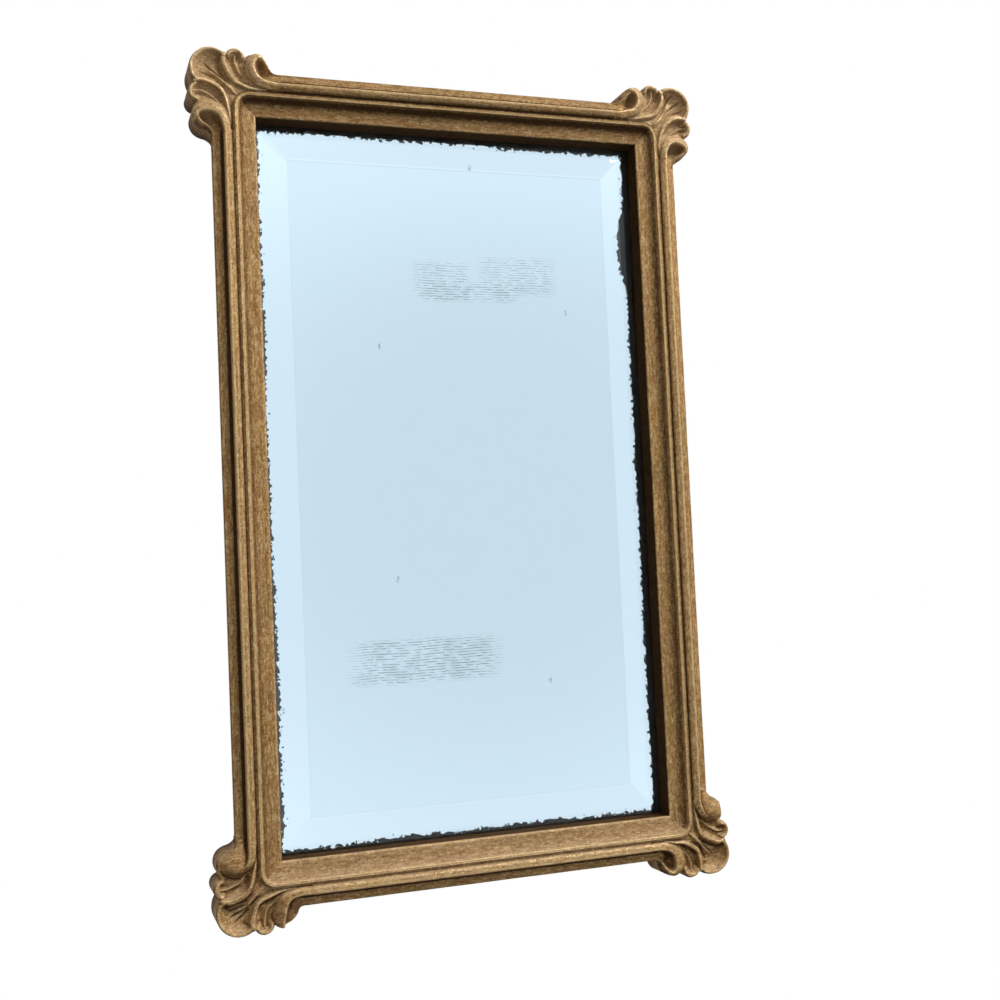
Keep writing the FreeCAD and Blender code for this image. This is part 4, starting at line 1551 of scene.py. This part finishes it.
def open_arm() -> Ridge:
    """The rail's ridge where it broadens, bends outward and runs out at the carving's edge without a lip."""
    return arm_from_rail(
        Knot(-10.5, 24.4, 8.0, 3.0, 0.9),
        Knot(-5.6, 25.8, 8.0, 3.4, 2.4),
        Knot(-2.0, 28.6, 7.9, 4.0, 3.6),
        Knot(0.2, 32.4, 7.5, 4.6, 4.2),
        Knot(1.2, 36.8, 6.8, 4.9, 4.4),
        Knot(1.6, 41.0, 5.9, 4.8, 4.0),
        Knot(1.8, 45.0, 4.8, 4.4, 3.6),
    )


def straight_arm() -> Ridge:
    """The rail's ridge where it runs into the knob and bends outward under it."""
    return arm_from_rail(
        Knot(-9.0, 24.3, 8.0, 3.0, 0.6),
        Knot(-4.0, 25.6, 7.8, 3.0, 1.0),
        Knot(0.5, 28.0, 6.8, 2.4, 1.4),
        Knot(4.0, 31.0, 5.0, 1.6, 1.6),
    )


def knob() -> Ridge:
    """The round knob that swells out of the ridge and the cove together and ends the arm."""
    return Ridge((
        Knot(-17.0, 30.0, 3.4, 3.0, 3.0),
        Knot(-12.0, 31.0, 5.0, 5.8, 2.6),
        Knot(-7.0, 32.8, 6.8, 9.4, 2.0),
        Knot(-2.4, 34.8, 7.8, 12.2, 1.6),
    ))


def arm_ridges(arm: Arm) -> tuple[Ridge, ...]:
    """Return the ridges that make one kind of arm."""
    return {
        Arm.SCOOPED: (scroll_arm(), scoop_rim()),
        Arm.OPEN: (open_arm(),),
        Arm.KNOB: (straight_arm(), knob()),
    }[arm]


def petal_rim() -> Ridge:
    """The raised edge of the small petal between the shell and the scroll."""
    return Ridge((
        Knot(9.4, 44.4, 4.6, 0.9, 4.0),
        Knot(11.0, 47.6, 5.2, 1.2, 5.0),
        Knot(14.8, 49.1, 5.6, 1.3, 6.0),
        Knot(18.7, 47.8, 5.8, 1.2, 5.5),
        Knot(20.8, 45.0, 5.8, 1.0, 4.5),
    ), lean=0.3)


def shell_rim() -> Ridge:
    """The shell's raised edge."""
    return Ridge((
        Knot(44.0, 43.9, 6.9, 1.3, 10.0),
        Knot(40.6, 46.4, 6.9, 1.3, 10.0),
        Knot(36.6, 48.0, 6.9, 1.3, 10.0),
        Knot(31.4, 48.2, 6.9, 1.3, 9.0),
        Knot(26.4, 46.7, 6.7, 1.2, 7.0),
        Knot(23.2, 43.9, 6.4, 1.1, 5.5),
    ), lean=-0.4)


def shell_fold() -> Ridge:
    """The fold between the shell and the petal, from the notch down to the stem and along the quirk."""
    return Ridge((
        Knot(22.0, 45.4, 6.4, 1.2, 4.6),
        Knot(23.2, 41.0, 6.4, 1.5, 4.4),
        Knot(22.4, 35.6, 6.3, 1.6, 4.4),
        Knot(19.8, 30.2, 6.1, 1.6, 4.2),
        Knot(15.8, 26.0, 5.9, 1.5, 3.8),
        Knot(10.4, 23.2, 5.6, 1.2, 2.8),
        Knot(4.2, 21.4, 5.2, 0.9, 2.0),
        Knot(-2.0, 20.4, 4.7, 0.7, 1.4),
        Knot(-8.0, 19.9, 4.4, 0.5, 0.8),
    ), lean=-0.5)


def petal_rib() -> Ridge:
    """A low rib down the middle of the petal."""
    return Ridge((
        Knot(15.4, 47.0, 3.6, 0.4, 3.0),
        Knot(15.6, 41.0, 3.0, 0.4, 3.0),
        Knot(13.0, 34.6, 2.8, 0.4, 2.8),
        Knot(8.6, 29.4, 2.6, 0.4, 2.4),
        Knot(3.4, 25.6, 2.4, 0.3, 1.8),
    ))


def stem() -> Ridge:
    """The stem on the mitre that the shell grows from."""
    return Ridge((
        Knot(13.4, 13.4, 3.2, 0.8, 1.6),
        Knot(16.0, 16.0, 4.6, 1.2, 2.4),
        Knot(19.0, 19.0, 5.6, 1.3, 3.4),
        Knot(22.6, 22.6, 5.2, 1.0, 4.4),
        Knot(27.0, 27.0, 3.9, 0.7, 5.0),
        Knot(32.0, 32.0, 2.6, 0.5, 5.0),
    ))


def shell_cuts(corner: Corner) -> tuple[Gouge, ...]:
    """Return the gouge cuts in one corner's shell, which differ from corner to corner."""
    return {
        Corner.TOP_LEFT: (
            Gouge(((38.6, 38.0), (34.6, 34.8), (30.0, 30.6), (25.0, 26.4), (20.8, 21.6)), 2.1, 1.5),
            Gouge(((27.0, 43.0), (27.6, 37.0), (26.2, 31.6), (22.4, 26.0)), 1.3, 1.4),
            Gouge(((42.4, 31.0), (36.4, 29.6), (30.6, 27.4), (25.0, 24.0)), 1.3, 1.4),
        ),
        Corner.TOP_RIGHT: (
            Gouge(((36.0, 44.6), (31.6, 40.0), (27.4, 32.6), (23.4, 24.6)), 2.0, 1.4),
            Gouge(((42.6, 38.6), (36.4, 34.6), (29.4, 29.0), (23.8, 22.4)), 2.1, 1.4),
            Gouge(((44.8, 31.0), (38.4, 28.8), (31.6, 26.0), (25.4, 22.6)), 1.7, 1.4),
            Gouge(((30.0, 45.4), (27.8, 39.0), (25.0, 32.0), (22.8, 25.4)), 1.7, 1.3),
        ),
        Corner.BOTTOM_LEFT: (
            Gouge(((26.6, 24.8), (33.0, 26.4), (41.0, 28.2)), 2.5, 1.7),
            Gouge(((27.0, 27.2), (33.6, 29.6), (41.4, 32.0)), 2.6, 1.7),
            Gouge(((26.8, 29.0), (32.4, 32.6), (39.6, 36.4)), 2.6, 1.7),
            Gouge(((26.0, 30.6), (30.4, 35.0), (36.4, 40.4)), 2.3, 1.6),
        ),
        Corner.BOTTOM_RIGHT: (
            Gouge(((24.0, 23.6), (29.4, 28.0), (36.0, 34.4)), 2.3, 1.6),
            Gouge(((25.4, 22.8), (32.0, 25.4), (40.6, 29.6)), 2.2, 1.6),
            Gouge(((23.4, 25.4), (26.4, 31.4), (30.0, 38.8)), 2.1, 1.5),
        ),
    }[corner]


@dataclass(frozen=True)
class Ground:
    """The depth that the carver cuts down to around a place, and how far it holds."""

    along: float
    out: float
    level: float
    reach: float


@dataclass
class CornerCarving:
    """A carved corner: a dished shell on the mitre between two petals and two scrolls.

    Its front is a height over the plane, h = ground + (sum of lift to the eighth) to the eighth root over all
    its ridges, less its gouge cuts, on a grid that runs from the quirk to the outline. Each grid line goes on
    down the wall, under the ear, up the rail's side and over the seat, so the piece is a skin of closed
    loops. Each join is a pair of places along an arm between which the carving goes over into the plain rail,
    or back. Faced holds the lengths along the quirk that the ends of the tail, the scroll and the petal face.
    """

    moulding: Moulding
    shell_centre: Point = (32.5, 32.5)
    shell_radius: float = 17.2
    petal_centre: Point = (14.8, 43.2)
    petal_radius: float = 7.59
    scroll_centre: Point = (-0.5, 36.2)
    scroll_radius: float = 11.6
    tail_radius: float = 6.0
    tail_gap: float = 0.15
    ear_back: float = -25.0
    edge_points: int = 9
    spacing: float = 0.36
    faced: tuple[float, ...] = (9.5, 23.0, 30.0)
    rows: int = 116
    crowding: float = 1.25
    wall_rows: int = 8
    wall_start: float = 0.06
    edge_places: tuple[float, ...] = (-18.0, -10.0, 4.0, 9.0)
    edge_rounds: tuple[float, ...] = (0.8, 0.7, 1.2, 1.2)
    merge: float = 8.0
    open_ground: float = 1.5
    facet_drop: float = 5.5
    facet_places: tuple[float, ...] = (-19.0, -12.0, -6.0, 0.0)
    facet_widths: tuple[float, ...] = (0.6, 1.8, 2.2, 1.8)
    facet_start: Point = (-18.0, -12.0)
    facet_end: Point = (4.0, -2.0)
    facet_out: Point = (26.0, 33.0)
    facet_slope: Point = (1.0, 0.35)
    first_seed: int = 100
    seed_step: int = 10
    loose_edge: Point = (0.0, 4.0)
    loose_arm: Point = (-19.0, -8.0)
    sway: float = 0.5
    sway_length: float = 22.0
    tooling: float = 0.14
    tooling_length: float = 7.0
    relief_windows: tuple[int, int] = (15, 17)
    relief_full: float = 0.9
    hollow_limit: float = -0.55
    wall_relief: Point = (-0.1, -0.75)
    under_relief: float = -0.6
    top_dust_and_light: float = 0.6
    ground_join: Point = (-8.0, -15.0)
    relief_join: Point = (-10.0, -16.0)
    wall_join: Point = (-8.0, -17.0)
    top_dust_light_join: Point = (-18.0, 0.0)
    top_shade_join: Point = (-10.0, -18.0)
    leaves: tuple[Ridge, ...] = (petal_rim(), shell_rim(), shell_fold(), petal_rib(), stem())
    arm_end: Point = (-4.6, 37.4)
    arm_end_reach: float = 4.6
    grounds: tuple[Ground, ...] = (
        Ground(36.0, 36.0, 0.6, 8.0),
        Ground(15.0, 43.0, 0.8, 5.0),
        Ground(12.0, 31.0, 0.6, 5.0),
        Ground(-12.0, 31.0, 0.4, 3.6),
        Ground(16.5, 16.5, 3.4, 3.5),
        Ground(2.0, 22.0, 3.2, 4.0),
    )

    def half_outline(self) -> tuple[Array, Array]:
        """Draw half of the outline, from the rail's end to the mitre.

        The outline is the rail's edge, a hollow tail, and arcs round the scroll, the petal and the shell.

        Returns:
            Its points, and the length along the quirk that faces each of them.
        """
        m = self.moulding
        scroll, petal, shell = self.scroll_centre, self.petal_centre, self.shell_centre
        drop = m.face + self.tail_radius - scroll[1]
        reach = self.scroll_radius + self.tail_radius
        tail = (scroll[0] - math.sqrt(reach**2 - drop**2), m.face + self.tail_radius)
        first = circles_meet(scroll, self.scroll_radius, petal, self.petal_radius)
        second = circles_meet(petal, self.petal_radius, shell, self.shell_radius)
        arcs = (
            (tail, self.tail_radius, -90.0, bearing(tail, scroll)),
            (scroll, self.scroll_radius, bearing(scroll, tail), bearing(scroll, first)),
            (petal, self.petal_radius, bearing(petal, first), bearing(petal, second)),
            (shell, self.shell_radius, bearing(shell, second), 45.0),
        )
        edge = np.linspace(-m.carving_reach, tail[0], self.edge_points, endpoint=False)
        parts = [np.column_stack([edge, np.full(len(edge), m.face)])]
        for centre, radius, start, end in arcs:
            count = int(radius * math.radians(abs(end - start)) / self.spacing)
            parts.append(arc(centre, radius, start, end, count + 1))
        parts[1:-1] = [part[:-1] for part in parts[1:-1]]
        full = m.carving_reach + m.corner_round + (m.quirk_middle - m.corner_round) * math.pi / 4.0
        faced = (0.0, m.carving_reach + tail[0], *self.faced, full)
        lengths = [
            np.linspace(low, high, len(part), endpoint=part is parts[-1])
            for part, low, high in zip(parts, faced[:-1], faced[1:])
        ]
        return np.vstack(parts), np.concatenate(lengths)

    def quirk(self, length: Array) -> Array:
        """Return points on the quirk: straight from the rail's end, then round the corner's arc.

        Args:
            length: Lengths from the rail's end.

        Returns:
            Along and out of each point.
        """
        m = self.moulding
        straight = m.carving_reach + m.corner_round
        radius = m.quirk_middle - m.corner_round
        angle = np.maximum(length - straight, 0.0) / radius
        along = np.minimum(length, straight) - m.carving_reach + radius * np.sin(angle)
        return np.column_stack([along, m.corner_round + radius * np.cos(angle)])

    def plan(self) -> tuple[Array, Array, Array]:
        """Draw the grid from the quirk to the outline, mirrored about the mitre.

        Its points lie 1 - (1 - t) ** crowding of the way out, so they are closer toward the outline.

        Returns:
            The quirk's points, the outline's points and the grid.
        """
        half, lengths = self.half_outline()
        inner, outer = (np.vstack([line, line[-2::-1, ::-1]]) for line in (self.quirk(lengths), half))
        share = 1.0 - (1.0 - np.linspace(0.0, 1.0, self.rows)) ** self.crowding
        return inner, outer, inner[:, None, :] + (outer - inner)[:, None, :] * share[None, :, None]

    def rail_ground(self, out: Array) -> Array:
        """Return the moulding's rise without its ridge.

        Args:
            out: Places out from the sight edge.

        Returns:
            The rise at each place.
        """
        m = self.moulding
        near, far = m.ridge_crest - m.ridge_inside, m.cove_start
        inside = np.interp(out, [near, far], [m.quirk_rise, m.cove_rise])
        return np.where(out > far, m.cove(out), inside)

    def front(self, arm: Arm, near: Array, far: Array, edge: Array) -> Array:
        """Return the rise of the ground with all ridges on it.

        The ground is the mean of the grounds' levels, each weighed by a bell curve of the distance from its
        place. Beside the scroll it falls in a facet toward the outline.

        Args:
            arm: The kind of arm.
            near: The smaller of each place's distances out from the two sight edges.
            far: The larger.
            edge: Distance of each place from the outline.

        Returns:
            The rise.
        """
        weight = np.zeros_like(near) + 1e-6
        ground = weight * self.open_ground
        for spot in (*self.grounds, Ground(*self.arm_end, arm.value, self.arm_end_reach)):
            share = np.exp(-((near - spot.along) ** 2 + (far - spot.out) ** 2) / (2.0 * spot.reach**2))
            weight = weight + share
            ground = ground + share * spot.level
        ground = blend(ground / weight, self.rail_ground(far), ease(*self.ground_join, near))
        width = np.interp(near, self.facet_places, self.facet_widths)
        outside = ease(*self.facet_start, near) * ease(*self.facet_end, near) * ease(*self.facet_out, far)
        ground = ground - self.facet_drop * outside * ease(*self.facet_slope, edge / width)
        lifts = np.stack([ridge.lift(near, far, ground) for ridge in (*arm_ridges(arm), *self.leaves)])
        return ground + (lifts**self.merge).sum(0) ** (1.0 / self.merge)

    def height(self, corner: Corner, along: Array, out: Array, edge: Array) -> Array:
        """Return the front's rise at places of a corner.

        Args:
            corner: Which corner it is, for its own cuts and unevenness.
            along: Places along, outward from the sight corner.
            out: Places out from the sight edge.
            edge: Distance of each place from the outline.

        Returns:
            The rise.
        """
        seed = self.first_seed + self.seed_step * list(Corner).index(corner)
        loose = ease(*self.loose_edge, edge) * ease(*self.loose_arm, np.minimum(along, out))
        first = along + self.sway * loose * waver(along, out, seed, self.sway_length)
        second = out + self.sway * loose * waver(along, out, seed + 1, self.sway_length)
        near, far = np.minimum(first, second), np.maximum(first, second)
        rail, stile = (self.front(arm, near, far, edge) for arm in corner.arms)
        rise = np.where(out >= along, rail, stile)
        for gouge in shell_cuts(corner):
            rise = rise - gouge.cut(along, out)
        rise = rise + self.tooling * loose * waver(along, out, seed + 2, self.tooling_length)
        curve = np.interp(near, self.edge_places, self.edge_rounds)
        inset = np.clip(curve - edge, 0.0, curve)
        return rise - curve + np.sqrt(np.maximum(curve**2 - inset**2, 0.0))

    def crossing(self, inner: Array, outer: Array, level: float) -> Array:
        """Return where each grid line crosses the rails' outer sides.

        Args:
            inner: The quirk's points.
            outer: The outline's points.
            level: The rise to cross at.

        Returns:
            Along and out of each crossing.
        """
        m = self.moulding
        limit = m.back_edge + m.taper * (m.frame_depth + level)
        way = outer - inner
        share = np.where(outer > limit, (limit - inner) / np.where(way == 0.0, 1.0, way), np.inf).min(1)
        return inner + way * np.clip(share, 0.0, 1.0)[:, None]

    def rear(self, inner: Array, outer: Array, top: Array) -> tuple[Array, Array]:
        """Carry each grid line on down the wall, under the ear, up the rail's side and over the seat.

        Args:
            inner: The quirk's points.
            outer: The outline's points.
            top: The front's rise at the outline.

        Returns:
            Along and out of the points, and their rise.
        """
        m = self.moulding
        wall = blend(top, self.ear_back, np.linspace(self.wall_start, 1.0, self.wall_rows)[None, :])
        sides = np.repeat(outer[:, None, :], self.wall_rows, axis=1)
        clear = m.face - m.back_edge - m.taper * (m.frame_depth + wall) - self.tail_gap
        tail = ease(*self.wall_join, outer.min(1))[:, None]
        sides[np.arange(len(outer)), :, outer.argmax(1)] -= tail * np.maximum(clear, 0.0)
        under = [self.crossing(inner, outer, level) for level in (self.ear_back, m.seat)]
        levels = np.broadcast_to([self.ear_back, m.seat, m.seat], (len(outer), 3))
        places = np.concatenate([sides, np.stack([*under, inner], axis=1)], axis=1)
        return places, np.concatenate([wall, levels], axis=1)

    def relief(self, rise: Array, grid: Array) -> Array:
        """Return how far each place of the front stands above its surroundings, up to 1.

        It is the rise less its running mean, held above a limit so that hollows stay open, and goes over into
        the moulding's own relief along the arms.

        Args:
            rise: The front's rise on the grid.
            grid: Along and out of the grid.

        Returns:
            The relief.
        """
        across, outward = self.relief_windows
        around = running_mean(running_mean(rise, across, 0), outward, 1)
        relief = np.clip((rise - around) / self.relief_full, self.hollow_limit, 1.0)
        return blend(relief, self.moulding.relief(grid.max(-1)), ease(*self.relief_join, grid.min(-1)))

    def facing(self, corner: Corner, place: tuple[Array, Array, Array], flat: Array) -> Array:
        """Find how far each place faces up, with dust and painted light on the top corners and painted shade
        on the top rail's arms.

        Args:
            corner: Which corner it is.
            place: The points' x, y and z.
            flat: Their along and out.

        Returns:
            The upward part of each place's unit normal, so changed.
        """
        facing = upward(*place)
        if corner.level > 0:
            # Dust and painted light from above on the top corners
            facing = np.maximum(facing, self.top_dust_and_light * ease(*self.top_dust_light_join, flat.min(-1)))
            # Painted shade on the rail's arm of a top corner, going over into the top rail
            facing = blend(facing, np.minimum(facing, TOP_PAINTED_SHADE), ease(*self.top_shade_join, flat[..., 0]))
        return facing

    def build(self, corner: Corner, finish: bpy.types.Material) -> bpy.types.Object:
        """Build one carved corner.

        Args:
            corner: Which corner it is.
            finish: Its gilt.

        Returns:
            The carving, standing for its CAD node.
        """
        m = self.moulding
        inner, outer, grid = self.plan()
        along, out = grid[..., 0].ravel(), grid[..., 1].ravel()
        edge = nearest_on(outer, along, out)[1]
        rise = self.height(corner, along, out, edge).reshape(grid.shape[:2])
        rear_flat, rear_rise = self.rear(inner, outer, rise[:, -1:])
        flat = np.concatenate([grid, rear_flat], axis=1)
        x = corner.hand * (m.sight_width / 2.0 + flat[..., 0])
        z = corner.level * (m.sight_height / 2.0 + flat[..., 1])
        column = np.arange(flat.shape[1])
        front = column < self.rows
        y = -(m.sight_level + m.uneven(np.concatenate([rise, rear_rise], axis=1), x, z, front))
        rear_relief = np.append(np.linspace(*self.wall_relief, self.wall_rows), np.full(3, self.under_relief))
        rear_relief = np.broadcast_to(rear_relief, rear_rise.shape)
        marks = {
            "relief": np.concatenate([self.relief(rise, grid), rear_relief], axis=1),
            "bare": np.broadcast_to(column >= self.rows + self.wall_rows, x.shape),
            "upward": self.facing(corner, (x, y, z), flat) * front,
        }
        carving = make_piece(f"gilt_{corner.node}", x, y, z, marks, flip=corner.hand == corner.level)
        stand_for(carving, finish, corner.node)
        return carving


@dataclass
class Silvering:
    """The silver and its backing paint, a hair's breadth behind the plate."""

    gap: float = 0.03
    rings: int = 9

    def build(self, finish: bpy.types.Material) -> bpy.types.Object:
        """Build the coat: an oblong section of rings across the plate, each ring a place on the way up it.

        Args:
            finish: Its silver.

        Returns:
            The coat, standing for its CAD node.
        """
        low, high = (np.array(end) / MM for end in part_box("silver_backing"))
        front = low[1] + self.gap
        section = np.array([[low[0], front], [low[0], high[1]], [high[0], high[1]], [high[0], front]])
        up = np.linspace(low[2], high[2], self.rings)
        x, z = np.meshgrid(section[:, 0], up)
        y = np.broadcast_to(section[:, 1], x.shape)
        coat = make_piece("old_silver", x, y, z, {}, flip=True)
        stand_for(coat, finish, "silver_backing")
        return coat


@dataclass
class PlainParts:
    """The pieces whose CAD shape is right and which take a finish only."""

    nodes: dict[str, bpy.types.Object]

    def dress(self, finish: bpy.types.Material, *names: str) -> None:
        """Give CAD nodes a finish.

        Args:
            finish: The finish.
            names: The nodes.
        """
        for name in names:
            slots = self.nodes[name].data.materials
            slots.clear()
            slots.append(finish)
            log.info("%s: %s", name, finish.name)


# Studio

@dataclass
class Studio:
    """Floor, lamp, surroundings and camera, with lengths in metres."""

    floor_level: float = -0.9
    floor_reach: float = 30.0
    floor_rings: int = 12
    floor_spokes: int = 48
    floor_pale: Colour = (250, 250, 250)
    floor_grey: Colour = (236, 236, 236)
    floor_cells: float = 60.0
    floor_mottle: float = 0.06
    floor_fade: Band = Band(0.9, 1.25)
    lens: float = 46.568
    sensor: float = 36.0
    clip_start: float = 0.01
    camera_place: Place = (-0.31656, -1.00408, -0.07356)
    camera_aim: Place = (0.02378, -0.036, -0.01708)
    camera_roll: float = -2.597
    lamp_place: Place = (1.05, -1.0, 1.6)
    lamp_size: float = 1.0
    lamp_power: float = 44.0
    cool: Colour = (238, 246, 252)
    dim: Colour = (255, 248, 240)
    walls: float = 0.75
    window_way: Place = (0.34, -1.0, 0.06)
    window: Band = Band(0.35, 0.75)
    window_light: float = 0.96
    window_rim: Band = Band(0.999, 0.96, 0.15)
    window_top: Band = Band(0.18, 0.36, 0.08)
    window_cast: float = 0.3
    dusk: float = 0.08
    above_light: Band = Band(0.0, 0.95, 0.5)
    right_light: Band = Band(0.2, 1.0, 0.4)
    back_light: Band = Band(0.3, 1.0, 0.35)

    def floor(self) -> None:
        """Lay a pale round floor: a disc of rings and spokes, with rings at the square of an even share."""
        share = np.linspace(0.0, 1.0, self.floor_rings) ** 2
        ring, spoke = np.meshgrid(share, np.linspace(0.0, 2.0 * math.pi, self.floor_spokes, endpoint=False))
        x, y = self.floor_reach * ring * np.cos(spoke), self.floor_reach * ring * np.sin(spoke)
        points = np.stack([x, y, np.full_like(x, self.floor_level)], -1).reshape(-1, 3)
        spokes, rings = x.shape
        a, b = np.meshgrid(np.arange(spokes), np.arange(rings - 1), indexing="ij")
        start, after = a * rings + b, (a + 1) % spokes * rings + b
        faces = np.stack([start, start + 1, after + 1, after], -1).reshape(-1, 4)
        mesh = bpy.data.meshes.new("floor")
        mesh.from_pydata(points.tolist(), [], faces.tolist())
        floor = bpy.data.objects.new("floor", mesh)
        bpy.context.scene.collection.objects.link(floor)
        mesh.materials.append(self.floor_finish())

    def floor_finish(self) -> bpy.types.Material:
        """Make the floor's matt white, which turns to plain white far off and lets reflected rays through.

        Returns:
            The material.
        """
        tree = Tree.material("pale_floor")
        seen = tree.node("ShaderNodeLightPath", output="Is Camera Ray")
        away = tree.node("ShaderNodeVectorMath", {"operation": "LENGTH"}, {0: tree.place()}, "Value")
        grain = tree.noise(tree.place(), self.floor_cells, detail=3.0)
        colour = tree.mix(grain * self.floor_mottle, linear(self.floor_pale), linear(self.floor_grey))
        matt = tree.node("ShaderNodeBsdfDiffuse", inputs={"Color": colour})
        white = tree.node("ShaderNodeEmission", inputs={"Color": WHITE, "Strength": 1.0})
        clear = tree.node("ShaderNodeBsdfTransparent")
        shown = tree.node("ShaderNodeMixShader", inputs={0: self.floor_fade.of(away), 1: matt, 2: white})
        tree.end(tree.node("ShaderNodeMixShader", inputs={0: seen, 1: clear, 2: shown}))
        return tree.owner

    def surroundings(self) -> None:
        """Make a white background, light from overhead and a cool window in front.

        Reflections see pale walls beside the window.
        """
        world = bpy.data.worlds.new("studio")
        bpy.context.scene.world = world
        tree = Tree(world)
        way = tree.node("ShaderNodeTexCoord", output="Generated")
        right, back, up = (
            tree.node("ShaderNodeSeparateXYZ", inputs={"Vector": way}, output=axis) for axis in "XYZ"
        )
        kinds = ("Camera", "Glossy", "Transmission")
        camera, glossy, through = (
            tree.node("ShaderNodeLightPath", output=f"Is {kind} Ray") for kind in kinds
        )
        aim = tuple(Vector(self.window_way).normalized())
        near = tree.node("ShaderNodeVectorMath", {"operation": "DOT_PRODUCT"}, {0: way, 1: aim}, "Value")
        window = self.window.of(near)
        glow = self.window_light + self.window_rim.of(near) + self.window_top.of(up)
        overhead = self.dusk + self.above_light.of(up) + self.right_light.of(right) + self.back_light.of(back)
        cast = overhead.toward(glow, window * self.window_cast)
        shown = self.walls + (glow - self.walls) * window
        strength = cast.toward(shown, (glossy + through).held()).toward(1.0, camera)
        colour = tree.mix(camera, tree.mix(window, linear(self.dim), linear(self.cool)), WHITE)
        tree.end(tree.node("ShaderNodeBackground", inputs={"Color": colour, "Strength": strength}))

    def lamp(self) -> None:
        """Hang a square soft lamp high in front, facing the mirror's middle."""
        data = bpy.data.lights.new("key_lamp", "AREA")
        data.energy = self.lamp_power
        data.size = self.lamp_size
        lamp = bpy.data.objects.new("key_lamp", data)
        lamp.location = self.lamp_place
        lamp.rotation_euler = (-Vector(self.lamp_place)).to_track_quat("-Z", "Y").to_euler()
        bpy.context.scene.collection.objects.link(lamp)

    def camera(self) -> None:
        """Set the camera up: it looks from its place to its aim and is rolled about that line."""
        data = bpy.data.cameras.new("camera")
        data.lens = self.lens
        data.sensor_width = self.sensor
        data.clip_start = self.clip_start
        camera = bpy.data.objects.new("camera", data)
        place = Vector(self.camera_place)
        ahead = (Vector(self.camera_aim) - place).normalized()
        level = ahead.cross(Vector((0.0, 0.0, 1.0))).normalized()
        upright = level.cross(ahead)
        roll = math.radians(self.camera_roll)
        right = level * math.cos(roll) + upright * math.sin(roll)
        above = upright * math.cos(roll) - level * math.sin(roll)
        turn = Matrix((right, above, -ahead)).transposed()
        camera.matrix_world = Matrix.Translation(place) @ turn.to_4x4()
        bpy.context.scene.collection.objects.link(camera)
        bpy.context.scene.camera = camera

    def build(self) -> None:
        """Set up the whole studio."""
        bpy.context.scene.view_settings.view_transform = "Standard"
        self.floor()
        self.surroundings()
        self.lamp()
        self.camera()


def report(piece: bpy.types.Object) -> None:
    """Log a finished piece with its number of faces."""
    log.info("%s: %d faces", piece.name, len(piece.data.polygons))


def main() -> None:
    """Load the frame, dress every piece and set up the studio."""
    logging.basicConfig(level=logging.INFO, format="%(name)s: %(message)s")
    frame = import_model()
    moulding = Moulding()
    across, upright = (GiltFinish().material(f"gilt_{grain.name.lower()}", grain) for grain in Grain)
    rails = Rails(moulding)
    for side in Side:
        report(rails.build(side, upright if side.upright else across))
    carving = CornerCarving(moulding)
    for corner in Corner:
        report(carving.build(corner, across))
    plain = PlainParts(frame["nodes"])
    plain.dress(PlateFinish().material("plate_glass"), "mirror_glass")
    report(Silvering().build(SilverFinish().material("old_silvering")))
    boards = [f"backboard_{place}" for place in ("top", "middle", "bottom")]
    plain.dress(PineFinish().material("back_pine"), *boards, "glazing_blocks")
    keys = [corner.node.replace("corner_carving", "mitre_key") for corner in Corner]
    plain.dress(PineFinish((150, 100, 58), (104, 66, 38)).material("key_wood"), *keys)
    iron = MetalFinish((118, 104, 92), (58, 36, 26), share=0.9, rough=0.45)
    plain.dress(iron.material("nail_iron"), "backboard_nails")
    brass = MetalFinish((204, 164, 92), (104, 78, 42))
    hands = ("left", "right")
    hangers = [f"hanger_{piece}_{hand}" for piece in ("strap", "ring", "screws") for hand in hands]
    plain.dress(brass.material("hanger_brass"), *hangers)
    Studio().build()


if __name__ == "__main__":
    main()
